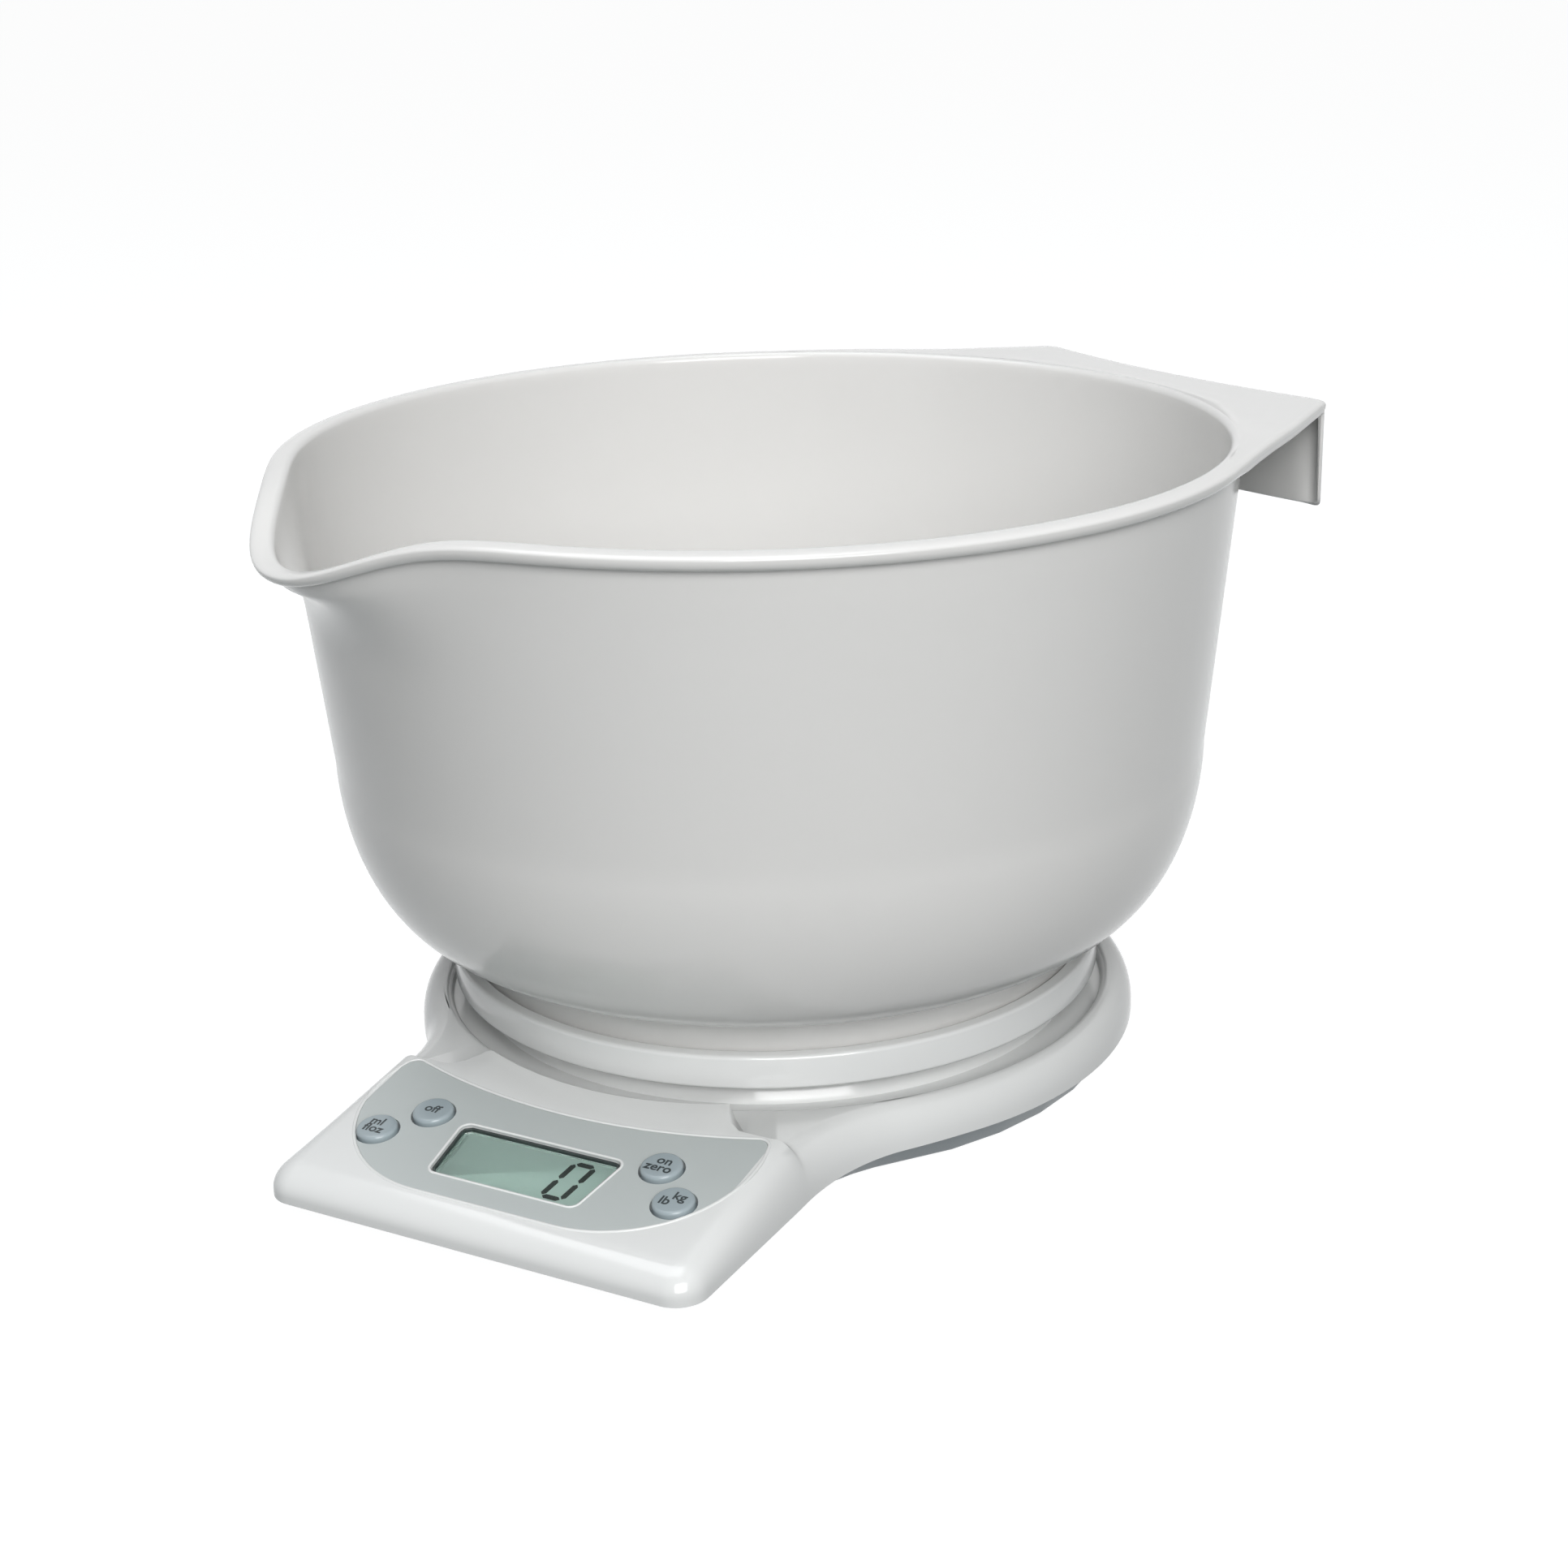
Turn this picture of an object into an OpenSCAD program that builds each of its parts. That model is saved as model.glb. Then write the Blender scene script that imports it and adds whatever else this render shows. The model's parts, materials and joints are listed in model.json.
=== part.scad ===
// Electronic kitchen scale with a mixing bowl that lifts off its platter.
// Millimetres, +Z up. The origin is where the weighing axis meets the table,
// and the control panel faces -Y.

/* [Weighing platter] */
// Outside radius of the platter
platter_r = 78; // [74:0.5:82]
// Height of the platter's upright rim
rim_h = 7.8; // [7:0.1:9]
// Width of the rim around the bowl's seat
rim_w = 3.5; // [3:0.1:4.5]
// Depth of the seat that the bowl's foot stands in
seat_depth = 3.8; // [3:0.1:4.4]
// Thickness of the platter's floor
platter_floor = 2.4; // [2:0.1:2.8]
// Height of the bosses that stand on the bracket
boss_h = 3.4; // [3:0.1:4.4]
// Radius of the circle that the bosses lie on
boss_circle_r = 22; // [20:0.5:24]
// Height of the stiffening ribs under the platter
platter_rib_h = 1.4; // [1:0.1:1.6]

/* [Bowl] */
// Radius at the inner edge of the rim
mouth_r = 105.9; // [100:0.5:110]
// Height of the rim above the platter's seat
bowl_h = 123.5; // [110:0.5:135]
// Thickness of the bowl's wall
bowl_wall = 2.6; // [2:0.1:3]
// Outside radius where the side turns in towards the base
knee_r = 102; // [98:0.5:103]
// Height of that turn above the seat
knee_h = 54; // [46:1:60]
// How far the body's lowest edge stands out past the foot ring
base_ledge = 3.9; // [2:0.1:8]
// Height of the foot ring
foot_ring_h = 11.4; // [10:0.2:13]
// Thickness of the foot ring
foot_ring_w = 2.6; // [2:0.1:3]
// Width of the rounded lip around the mouth
lip_w = 5.3; // [4.8:0.1:6]
// Depth of the lip's outer face
lip_h = 3.6; // [3:0.1:4.5]
// How far the spout stands out past the rim
spout_reach = 11; // [10:0.5:18]
// How far the spout's tip dips below the rim
spout_dip = 11.8; // [6:0.2:14]
// Half width of the spout, as an angle round the bowl
spout_half_angle = 15; // [12:0.1:20]
// Height over which the wall swells into the spout
spout_depth = 34; // [30:1:44]
// Direction of the handle round the bowl at rest
handle_turn = 62; // [50:1:75]

/* [Bowl handle] */
// Distance from the bowl's axis to the corners of the grip
grip_reach = 129.8; // [126:0.1:134]
// Half the length of the grip between its corners
grip_half = 50; // [44:0.5:54]
// Depth of the grip's downturned wall
grip_depth = 26; // [20:0.5:32]
// How far the grip's outer edge bows in at the middle
grip_bow = 4; // [2:0.5:6]
// Thickness of the shelf and of the grip's wall
grip_wall = 2.8; // [2.2:0.1:3.2]
// Rounding of the grip's corners, seen from above
grip_corner = 5.5; // [4:0.5:7]

/* [Housing] */
// Radius of the round part of the upper cover
base_r = 86.5; // [86:0.5:90]
// Half the width of the control end
front_half = 53.2; // [52.5:0.1:56]
// Distance from the weighing axis to the front edge
front_y = 133.4; // [132:0.2:138]
// Radius of the front corners
front_corner = 7; // [6.6:0.1:9]
// Radius of the hollow neck between the round part and the control end
neck_r = 40; // [34:1:46]
// Wall thickness of both covers
cover_wall = 2; // [1.8:0.1:2.2]
// Slope of the control panel, rise over run
panel_slope = 0.16; // [0.14:0.005:0.17]
// How far the crest round the platter lies below the platter's lower edge
crest_drop = 3.5; // [3:0.1:4]
// How far the gutter lies below the platter's lower edge
gutter_drop = 6.5; // [6:0.1:7]
// How far the upper cover's edge lies below the platter at the round end
edge_drop_round = 12.5; // [12:0.1:13]
// How far it lies below the platter at the front
edge_drop_front = 15.6; // [15:0.1:15.8]
// Radius of the opening that the bracket works in
well_hole_r = 34; // [33.5:0.5:38]
// How far the lower cover's foot stands in from the upper cover's edge
tuck_in = 5; // [4:0.1:5.5]
// How far a rubber foot stands proud of the lower cover
pad_h = 2; // [1.5:0.1:3]
// Radius of a rubber foot
pad_r = 7.5; // [6:0.1:7.7]

/* [Load cell] */
// Length of the load cell
cell_len = 62; // [60:0.5:64]
// Width of the load cell
cell_w = 12.7; // [11:0.1:14]
// Height of the load cell
cell_h = 10; // [9.5:0.1:11]
// Radius of the two relief bores
cell_bore_r = 3.4; // [3:0.1:3.8]
// Distance between the relief bores
cell_bore_gap = 14; // [12:0.5:16]
// Height of the seat under the fixed end
cell_seat_h = 2; // [1.6:0.1:2.6]
// Thickness of the bracket's plate
bracket_t = 2; // [1.6:0.1:2.4]
// Radius of the bracket's plate
bracket_r = 31; // [30:0.5:32.5]
// Gap that the bracket's pad leaves over the cell
bracket_pad_h = 1.2; // [1:0.1:1.6]
// Travel of the platter under full load
load_travel = 0.6; // [0.3:0.1:0.8]

/* [Controls] */
// Radius of a key cap
key_r = 4.5; // [4:0.1:4.7]
// How far a key stands above the panel
key_proud = 1.3; // [1:0.1:2]
// Travel of a key
key_travel = 0.7; // [0.4:0.1:0.8]
// Distance of the inner keys from the middle
key_inner_x = 28.95; // [28.6:0.05:30]
// Distance of the outer keys from the middle
key_outer_x = 37.25; // [36.5:0.05:38]
// Half the width of the display opening at its top
window_top_half = 20.4; // [19:0.1:20.8]
// Half the width of the display opening at its bottom
window_low_half = 18.2; // [17:0.1:19]
// Height of the display opening
window_h = 17; // [15:0.1:17.6]
// How far the middle of the display opening lies up the panel
window_y = 0.65; // [0:0.05:1]
// Thickness of the panel's label
label_t = 0.5; // [0.3:0.1:0.7]
// Thickness of the display's glass
glass_t = 1.5; // [1.2:0.1:1.8]
// Thickness of the circuit board
board_t = 1.2; // [1:0.1:1.4]
// Half the length of the circuit board
board_half = 47.2; // [46.6:0.1:47.6]

/* [Battery] */
// Radius of the coin cell
coin_r = 10; // [9.6:0.1:10.2]
// Thickness of the coin cell
coin_t = 3.2; // [2.5:0.1:3.4]
// Radius of the battery cap's disc
cap_r = 12.8; // [12.4:0.1:13.4]
// Turn that frees the battery cap
cap_turn = 40; // [30:1:50]

/* [Hidden] */

fine = 96;            // facets of a large circle in previews
small = 32;           // facets of a small circle in previews
fit = 0.3;            // clearance between parts that pass each other
snug = 0.15;          // clearance round a peg or a screw's head
bite = 0.1;           // clearance of a screw in the hole that it threads
lap = 1;              // overlap that joins two shapes of one piece

// Screws: radius and height of the head, radius of the shank.
case_screw = [2.8, 1.8, 1.15];
cell_screw = [3.4, 2, 1.9];
bracket_screw = [3.8, 1.8, 1.9];
platter_screw = [2.75, 1.3, 1.1];
board_screw = [1.9, 1, 0.8];

// Heights, from the table up.
floor_top = pad_h + cover_wall;
cell_z = floor_top + cell_seat_h;
cell_top = cell_z + cell_h;
bracket_z = cell_top + bracket_pad_h;
bracket_top = bracket_z + bracket_t;
platter_under = bracket_top + boss_h;
seat_z = platter_under + platter_floor;
platter_top = seat_z + seat_depth;
platter_z = platter_top - rim_h;
seat_r = platter_r - rim_w;

// Heights of the upper cover, from the platter's lower edge down.
crest_z = platter_z - crest_drop;
gutter_z = platter_z - gutter_drop;
edge_round_z = platter_z - edge_drop_round;
edge_front_z = platter_z - edge_drop_front;
tower_z = bracket_top + fit;
gutter_out_r = platter_r + 0.6;
tower_r = seat_r - 4;

// Control panel plane: its height over the table at the axis, and its tilt.
panel_rise = 12;
panel_mid_y = 112.5;
panel_tilt = atan(panel_slope);
panel_mid_z = platter_z + panel_rise - panel_slope * panel_mid_y;
function panel_z(y) = panel_mid_z + panel_slope * (y + panel_mid_y);
function panel_local(y) = (y + panel_mid_y) / cos(panel_tilt);

// Depths behind the panel, along its own normal.
frame_t = 0.8;
window_t = 0.8;
collar_t = 0.5;
collar_drop = 0.6;
strip_t = 3;
strip_w = 2;
frame_low = -cover_wall - frame_t;
glass_low = -cover_wall - glass_t;
board_top = glass_low - strip_t;
board_low = board_top - board_t;
key_inner_y = panel_local(-102.9);
key_outer_y = panel_local(-112.2);
board_front = -12;
board_back = 12;
key_flange = 0.7;
switch_h = 2.4;
switch_w = 6;
stem_r = 1.4;

function lerp(a, b, t) = a + (b - a) * t;
function clamp01(t) = min(1, max(0, t));
function ease(t) = let (c = clamp01(t)) c * c * (3 - 2 * c);
function radial(p, r, z) = let (n = norm([p[0], p[1]])) [p[0] / n * r, p[1] / n * r, z];

// ---------------------------------------------------------------- outline
// Plan of the covers: front edge, corner, side, hollow neck and round back.
// Every point takes its own inset, so rows of points loft into a shell.
neck_x = front_half + neck_r;
neck_y = -sqrt(pow(base_r + neck_r, 2) - pow(neck_x, 2));
neck_turn = asin(-neck_y / (base_r + neck_r));
front_n = 4;
corner_n = 5;
side_n = 4;
neck_steps = [0, 0.05, 0.19, 0.35, 0.51, 0.67, 0.83];
neck_n = len(neck_steps);
round_n = 14;
half_n = front_n + corner_n + side_n + neck_n + round_n;

function half_point(i, d) =
    i < front_n
    ? [(front_half - front_corner) * i / front_n, -front_y + d]
    : i < front_n + corner_n
    ? let (a = -90 + 90 * (i - front_n) / (corner_n - 1),
           out = max(front_corner, d + 0.4), r = out - d)
      [front_half - out + r * cos(a), -front_y + out + r * sin(a)]
    : i < front_n + corner_n + side_n
    ? let (t = (i - front_n - corner_n + 1) / (side_n + 1))
      [front_half - d, lerp(-front_y + front_corner, neck_y, t)]
    : i < front_n + corner_n + side_n + neck_n
    ? let (a = 180 - neck_turn * neck_steps[i - front_n - corner_n - side_n])
      [neck_x + (neck_r + d) * cos(a), neck_y + (neck_r + d) * sin(a)]
    : let (t = (i - front_n - corner_n - side_n - neck_n) / round_n,
           a = lerp(-neck_turn, 90, t))
      [(base_r - d) * cos(a), (base_r - d) * sin(a)];
function plan_point(i, d) =
    i <= half_n ? half_point(i, d)
    : let (p = half_point(2 * half_n - i, d)) [-p[0], p[1]];
plan_n = 2 * half_n;
function plan_ids() = [for (i = [0 : plan_n - 1]) i];

// A closed shell from rows of points: each row joins the next, the last the first.
module ring_shell(rows) {
    n = len(rows[0]);
    m = len(rows);
    polyhedron(
        points = [for (row = rows) for (p = row) p],
        faces = [for (j = [0 : m - 1]) for (i = [0 : n - 1])
            let (a = j * n + i, b = j * n + (i + 1) % n,
                 c = ((j + 1) % m) * n + (i + 1) % n, d = ((j + 1) % m) * n + i)
            each [[a, c, b], [a, d, c]]]);
}

// A solid from rows of points, closed by a fan at its first and last row.
module capped_shell(rows, low, high) {
    n = len(rows[0]);
    m = len(rows);
    polyhedron(
        points = concat([for (row = rows) for (p = row) p], [low, high]),
        faces = concat(
            [for (j = [0 : m - 2]) for (i = [0 : n - 1])
                let (a = j * n + i, b = j * n + (i + 1) % n,
                     c = (j + 1) * n + (i + 1) % n, d = (j + 1) * n + i)
                each [[a, c, b], [a, d, c]]],
            [for (i = [0 : n - 1]) [i, (i + 1) % n, m * n]],
            [for (i = [0 : n - 1])
                [(m - 1) * n + (i + 1) % n, (m - 1) * n + i, m * n + 1]]));
}

// ---------------------------------------------------------------- upper cover
roll_round = 4.6;
roll_front = 6.6;
edge_land = 1.5;
function front_share(y) = ease((-y - 45) / 45);
function edge_z(y) = lerp(edge_round_z, edge_front_z, front_share(y));
function roll_w(y) = lerp(roll_round, roll_front, front_share(y));
roll_steps = [0, 18, 36, 54, 72, 90];

// The control panel is a plane. It ends at a crease: in the middle this follows
// the gutter, then it steps forward and runs straight out to the neck.
crease_r = gutter_out_r + 4;
crease_y = -neck_y + 0.3;
crease_x = 36.5;
crease_turn = 22.5;
crease_mid_n = front_n + corner_n - 1;
crease_n = front_n + corner_n + side_n;
crease_w = 2.2;
function half_index(i) = i <= half_n ? i : plan_n - i;
function side_of(i) = i <= half_n ? 1 : -1;
function cover_z(i, y) = half_index(i) <= crease_n ? panel_z(y) : crest_z;
// A point s past the crease; k is 0 on the outside and the wall on the inside.
function crease_half(i, s, k) =
    i < crease_mid_n
    ? let (a = crease_turn * i / crease_mid_n, r = crease_r + k - 0.4 * s)
      [r * sin(a), -r * cos(a)]
    : i == crease_mid_n
    ? let (r = crease_r + k)
      [r * sin(crease_turn) + 0.7 * s, -r * cos(crease_turn) + 0.5 * s]
    : i <= crease_n
    ? let (t = (i - crease_mid_n - 1) / (crease_n - crease_mid_n - 1),
           o = front_half - roll_w(-crease_y) - 1)
      [lerp(crease_x + 0.7 * (s - k), o, t), -crease_y + s - k]
    : plan_point(i, roll_w(plan_point(i, 0)[1]) + 0.1 + 0.2 * s);
function crease_row(s, k) = [for (i = plan_ids())
    let (h = half_index(i), p = crease_half(h, s, k),
         z = h <= crease_n && s == 0 ? panel_z(p[1]) : crest_z)
    [side_of(i) * p[0], p[1], z - k]];

// One row up the rolled edge.
function roll_row(t, k) = [for (i = plan_ids())
    let (o = plan_point(i, 0),
         p = plan_point(i, k + (roll_w(o[1]) - k) * (1 - cos(t))),
         low = edge_z(o[1]) + edge_land)
    [p[0], p[1], lerp(low, cover_z(i, p[1]) - k, sin(t))]];
function edge_row(k) = [for (i = plan_ids())
    let (o = plan_point(i, 0), p = plan_point(i, k)) [p[0], p[1], edge_z(o[1])]];
// Rows from the crest down into the gutter: radius past the gutter, share of
// the drop, and how far the inside stands out from the outside.
gutter_steps = [[2.6, 0.04, 0.15], [1.9, 0.3, 0.4], [1.1, 0.75, 0.65], [0.3, 1, 0.85]];
function gutter_row(g, k) = [for (i = plan_ids())
    let (p = crease_half(half_index(i), crease_w, k))
    radial([side_of(i) * p[0], p[1]], gutter_out_r + g[0] + g[2] * k,
           lerp(crest_z, gutter_z, g[1]) - k)];
function circle_row(r, z) = [for (i = plan_ids())
    let (p = crease_half(half_index(i), crease_w, 0)) radial([side_of(i) * p[0], p[1]], r, z)];

function cover_rows() = concat(
    [edge_row(0)],
    [for (t = roll_steps) roll_row(t, 0)],
    [crease_row(0, 0), crease_row(crease_w, 0)],
    [for (g = gutter_steps) gutter_row(g, 0)],
    [circle_row(tower_r + 1.4, gutter_z), circle_row(tower_r, tower_z - 0.8),
     circle_row(tower_r - 1, tower_z), circle_row(well_hole_r, tower_z),
     circle_row(well_hole_r, tower_z - cover_wall),
     circle_row(tower_r - 1, tower_z - cover_wall),
     circle_row(tower_r + 1.4 - cover_wall, gutter_z - cover_wall)],
    [for (j = [1 : len(gutter_steps)]) gutter_row(gutter_steps[len(gutter_steps) - j], cover_wall)],
    [crease_row(crease_w, cover_wall), crease_row(0, cover_wall)],
    [for (j = [1 : len(roll_steps)]) roll_row(roll_steps[len(roll_steps) - j], cover_wall)],
    [edge_row(cover_wall)]);

// Stands things on the control panel: z is 0 on its face, y runs up the slope.
module on_panel() {
    translate([0, -panel_mid_y, panel_mid_z]) rotate([panel_tilt, 0, 0]) children();
}

// Places that repeat.
key_places = [[-key_inner_x, key_inner_y], [key_inner_x, key_inner_y],
              [-key_outer_x, key_outer_y], [key_outer_x, key_outer_y]];
board_posts = [[-26.5, -9.3], [26.5, -9.3], [3 - board_half, 9.3], [board_half - 3, 9.3]];
post_r = 2.2;
rear_screw_r = tower_r + 4.8;
case_places = [[-42, -93], [42, -93],
               for (a = [30, 90, 150]) [rear_screw_r * cos(a), rear_screw_r * sin(a)]];
front_cases = 2;
case_post_z = floor_top + 5;
case_boss_r = 3;
function case_skin_z(i) =
    i < front_cases ? panel_z(case_places[i][1]) - cover_wall : gutter_z - cover_wall;
foot_places = [[-38.5, -115.5], [38.5, -115.5], [-52, 46], [52, 46]];

// Outline of the display opening, grown or shrunk by d.
window_round = 2;
module window_plan(d) {
    translate([0, window_y]) offset(r = window_round + d) offset(delta = -window_round)
        polygon([[-window_low_half, -window_h / 2], [window_low_half, -window_h / 2],
                 [window_top_half, window_h / 2], [-window_top_half, window_h / 2]]);
}

// Outline of the grey label: two round lower corners under a hollow upper edge.
label_corner_r = 30;
label_corner_x = 17.3;
label_front = -14.2;
label_back = 19.1;
label_arc_r = 141;
label_round = 2.5;
module label_plan(d) {
    offset(r = label_round + d) offset(delta = -label_round) difference() {
        union() {
            for (s = [-1, 1])
                translate([s * label_corner_x, label_front + label_corner_r])
                    circle(r = label_corner_r, $fn = fine);
            translate([-label_corner_x, label_front])
                square([2 * label_corner_x, 2 * label_corner_r]);
        }
        translate([0, label_back + label_arc_r]) circle(r = label_arc_r, $fn = 2 * fine);
    }
}

module top_cover() color("#dcdbd7") difference() {
    union() {
        ring_shell(cover_rows());
        on_panel() for (p = board_posts)
            translate([p[0], p[1], board_top])
                cylinder(r = post_r, h = -board_top - cover_wall + lap, $fn = small);
        for (i = [0 : len(case_places) - 1])
            translate([case_places[i][0], case_places[i][1], case_post_z])
                cylinder(r = case_boss_r, h = case_skin_z(i) - case_post_z + lap, $fn = small);
    }
    on_panel() {
        translate([0, 0, -label_t]) linear_extrude(5) label_plan(0.1);
        translate([0, 0, -2 * cover_wall]) linear_extrude(4 * cover_wall) window_plan(0);
        for (p = key_places)
            translate([p[0], p[1], -2 * cover_wall])
                cylinder(r = key_r + fit, h = 4 * cover_wall, $fn = small);
        for (p = board_posts)
            translate([p[0], p[1], board_top - lap])
                cylinder(r = board_screw[2] + bite, h = lap + 3.4, $fn = small);
    }
    for (i = [0 : len(case_places) - 1])
        translate([case_places[i][0], case_places[i][1], case_post_z - lap])
            cylinder(r = case_screw[2] + bite, h = case_skin_z(i) - case_post_z + lap, $fn = small);
}

// ---------------------------------------------------------------- lower cover
wall_inset = cover_wall + fit;
wall_up = 1.2;
coin_x = 0;
coin_y = -45;
lug_out_r = cap_r + 1.6;
lug_low = floor_top + 0.1;
lug_t = 1;
cap_top = lug_low + lug_t;
pocket_top = cap_top + 0.3;
coin_z = cap_top + 0.2;
coin_top = coin_z + coin_t;
holder_r = coin_r + 0.6;
holder_out_r = lug_out_r + 0.3 + 1.6;
roof_low = coin_top + 1.1;
roof_top = roof_low + 1.2;
leg_top = roof_top + 0.8;
lug_half = 7;
notch_half = 9;
stop_gap = 0.3;
cell_end = cell_len / 2;
cell_holes = [cell_end - 4, cell_end - 14];
cell_seat_len = 19;
screw_depth = 7;
screw_head_drop = 2.4;
rib_h = 2.4;
rib_t = 1.4;
rib_pitch = 18;
rib_end = 18;
rib_back = base_r - tuck_in - 19.5;

function tray_row(d, z) = [for (i = plan_ids())
    let (p = plan_point(i, d)) [p[0], p[1], z]];
function tray_wall_row(d, up) = [for (i = plan_ids())
    let (o = plan_point(i, 0), p = plan_point(i, d)) [p[0], p[1], edge_z(o[1]) + up]];
function tray_rows() = [
    tray_row(tuck_in + 0.7, pad_h),
    tray_row(tuck_in, pad_h + 0.7),
    tray_wall_row(wall_inset, -0.5),
    tray_wall_row(wall_inset, wall_up),
    tray_wall_row(wall_inset + cover_wall, wall_up),
    tray_wall_row(wall_inset + cover_wall, 0),
    tray_row(tuck_in + cover_wall, floor_top + 0.6),
    tray_row(tuck_in + cover_wall + 0.7, floor_top)];

// A wedge of a disc, from one angle to another.
module wedge(r, h, from, to) {
    intersection() {
        cylinder(r = r, h = h, $fn = fine);
        linear_extrude(h) polygon([[0, 0], [2 * r * cos(from), 2 * r * sin(from)],
                                   [2 * r * cos(to), 2 * r * sin(to)]]);
    }
}

module bottom_cover() color("#8d969b") difference() {
    union() {
        capped_shell(tray_rows(), [0, 0, pad_h], [0, 0, floor_top]);
        for (p = case_places) translate([p[0], p[1], floor_top - lap])
            cylinder(r = 3.6, h = case_post_z - floor_top + lap, $fn = small);
        // Seat of the fixed end, and the stop under the free end.
        translate([-cell_end - 0.5, -cell_w / 2 - 1, floor_top - lap])
            cube([cell_seat_len, cell_w + 2, cell_seat_h + lap]);
        translate([cell_end - 9, 0, floor_top - lap])
            cylinder(r = 4, h = cell_seat_h + lap - load_travel - stop_gap, $fn = small);
        translate([coin_x, coin_y, floor_top - lap])
            cylinder(r = holder_out_r, h = roof_top - floor_top + lap, $fn = fine);
        // Stiffening ribs of the floor.
        for (i = [0 : 2]) let (y = rib_back - i * rib_pitch,
                               half = sqrt(pow(base_r - tuck_in - 8, 2) - y * y) - rib_end)
            translate([-half, y, floor_top - lap]) cube([2 * half, rib_t, rib_h + lap]);
        for (s = [-1, 1])
            translate([s * (cell_end + 13) - rib_t / 2, coin_y - cap_r, floor_top - lap])
                cube([rib_t, cap_r - coin_y + cell_w, rib_h + lap]);
    }
    for (p = case_places) translate([p[0], p[1], 0]) {
        cylinder(r = case_screw[2] + 2 * fit, h = case_post_z + lap, $fn = small);
        cylinder(r = case_screw[0] + fit, h = pad_h + screw_head_drop, $fn = small);
    }
    for (x = cell_holes) translate([-x, 0, 0]) {
        cylinder(r = cell_screw[2] + fit, h = cell_z + lap, $fn = small);
        cylinder(r = cell_screw[0] + fit, h = pad_h + screw_head_drop, $fn = small);
    }
    for (p = foot_places) translate([p[0], p[1], 0])
        cylinder(r = pad_r + snug, h = pad_h + 0.8, $fn = small);
    translate([coin_x, coin_y, 0]) {
        cylinder(r = cap_r + 0.25, h = floor_top + 0.2, $fn = fine);
        translate([0, 0, floor_top]) cylinder(r = lug_out_r + 0.3, h = pocket_top - floor_top, $fn = fine);
        cylinder(r = holder_r, h = roof_low, $fn = fine);
        for (a = [0, 120, 240])
            wedge(lug_out_r + 0.3, floor_top + 0.2, a + cap_turn - notch_half, a + cap_turn + notch_half);
        translate([coin_r - 1, -3, 0]) cube([4, 6, roof_low]);
        // Slots in the roof for the contacts' legs.
        translate([coin_r, -2.2, roof_low - lap]) cube([0.9, 4.4, roof_top - roof_low + 2 * lap]);
        translate([-coin_r + 1.4, -2.2, roof_low - lap]) cube([0.9, 4.4, roof_top - roof_low + 2 * lap]);
    }
}

// A countersunk or a pan-headed screw along +Z, its head's face at z = 0.
module cross_slot(size, depth) {
    for (a = [0, 90]) rotate([0, 0, a])
        translate([-size[0] * 0.6, -0.35, -lap]) cube([size[0] * 1.2, 0.7, lap + depth]);
}
module csk_screw(size, len) {
    difference() {
        union() {
            cylinder(r1 = size[0], r2 = size[2], h = size[1], $fn = small);
            cylinder(r = size[2], h = len, $fn = small);
        }
        cross_slot(size, size[1] * 0.6);
    }
}
module pan_screw(size, len) {
    difference() {
        union() {
            cylinder(r1 = size[0] - 0.4, r2 = size[0], h = 0.4, $fn = small);
            translate([0, 0, 0.4]) cylinder(r = size[0], h = size[1] - 0.4, $fn = small);
            cylinder(r = size[2], h = len, $fn = small);
        }
        cross_slot(size, size[1] * 0.5);
    }
}

module case_screws() color("#b9bcc0")
    for (i = [0 : len(case_places) - 1])
        translate([case_places[i][0], case_places[i][1], pad_h + screw_head_drop - case_screw[1]])
            pan_screw(case_screw, case_skin_z(i) - pad_h - screw_head_drop + case_screw[1] - lap);

module rubber_feet() color("#4a4d50")
    for (p = foot_places) translate([p[0], p[1], 0]) rotate_extrude($fn = small)
        polygon([[0, 0], [pad_r - 0.8, 0], [pad_r, 0.8], [pad_r, pad_h + 0.8], [0, pad_h + 0.8]]);

// ---------------------------------------------------------------- load cell
module load_cell() color("#c9ccd0") difference() {
    translate([-cell_end, -cell_w / 2, cell_z]) cube([cell_len, cell_w, cell_h]);
    for (s = [-1, 1])
        translate([s * cell_bore_gap / 2, 0, cell_z + cell_h / 2]) rotate([90, 0, 0])
            cylinder(r = cell_bore_r, h = 2 * cell_w, center = true, $fn = fine);
    translate([0, 0, cell_z + cell_h / 2]) cube([cell_bore_gap, 2 * cell_w, 2.4], center = true);
    for (x = cell_holes) {
        translate([x, 0, cell_top - screw_depth - lap])
            cylinder(r = bracket_screw[2] + bite, h = screw_depth + 2 * lap, $fn = small);
        translate([-x, 0, cell_z - lap])
            cylinder(r = cell_screw[2] + bite, h = screw_depth + 2 * lap, $fn = small);
    }
}

gauge_t = 0.2;
module strain_gauges() color("#c79a4b")
    for (s = [-1, 1]) for (z = [cell_z - gauge_t, cell_top])
        translate([s * cell_bore_gap / 2 - 3, -2, z]) cube([6, 4, gauge_t]);

module cell_screws() color("#9ea2a6")
    for (x = cell_holes) translate([-x, 0, pad_h + screw_head_drop - cell_screw[1]])
        pan_screw(cell_screw, cell_z - pad_h - screw_head_drop + cell_screw[1] + screw_depth);

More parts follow.
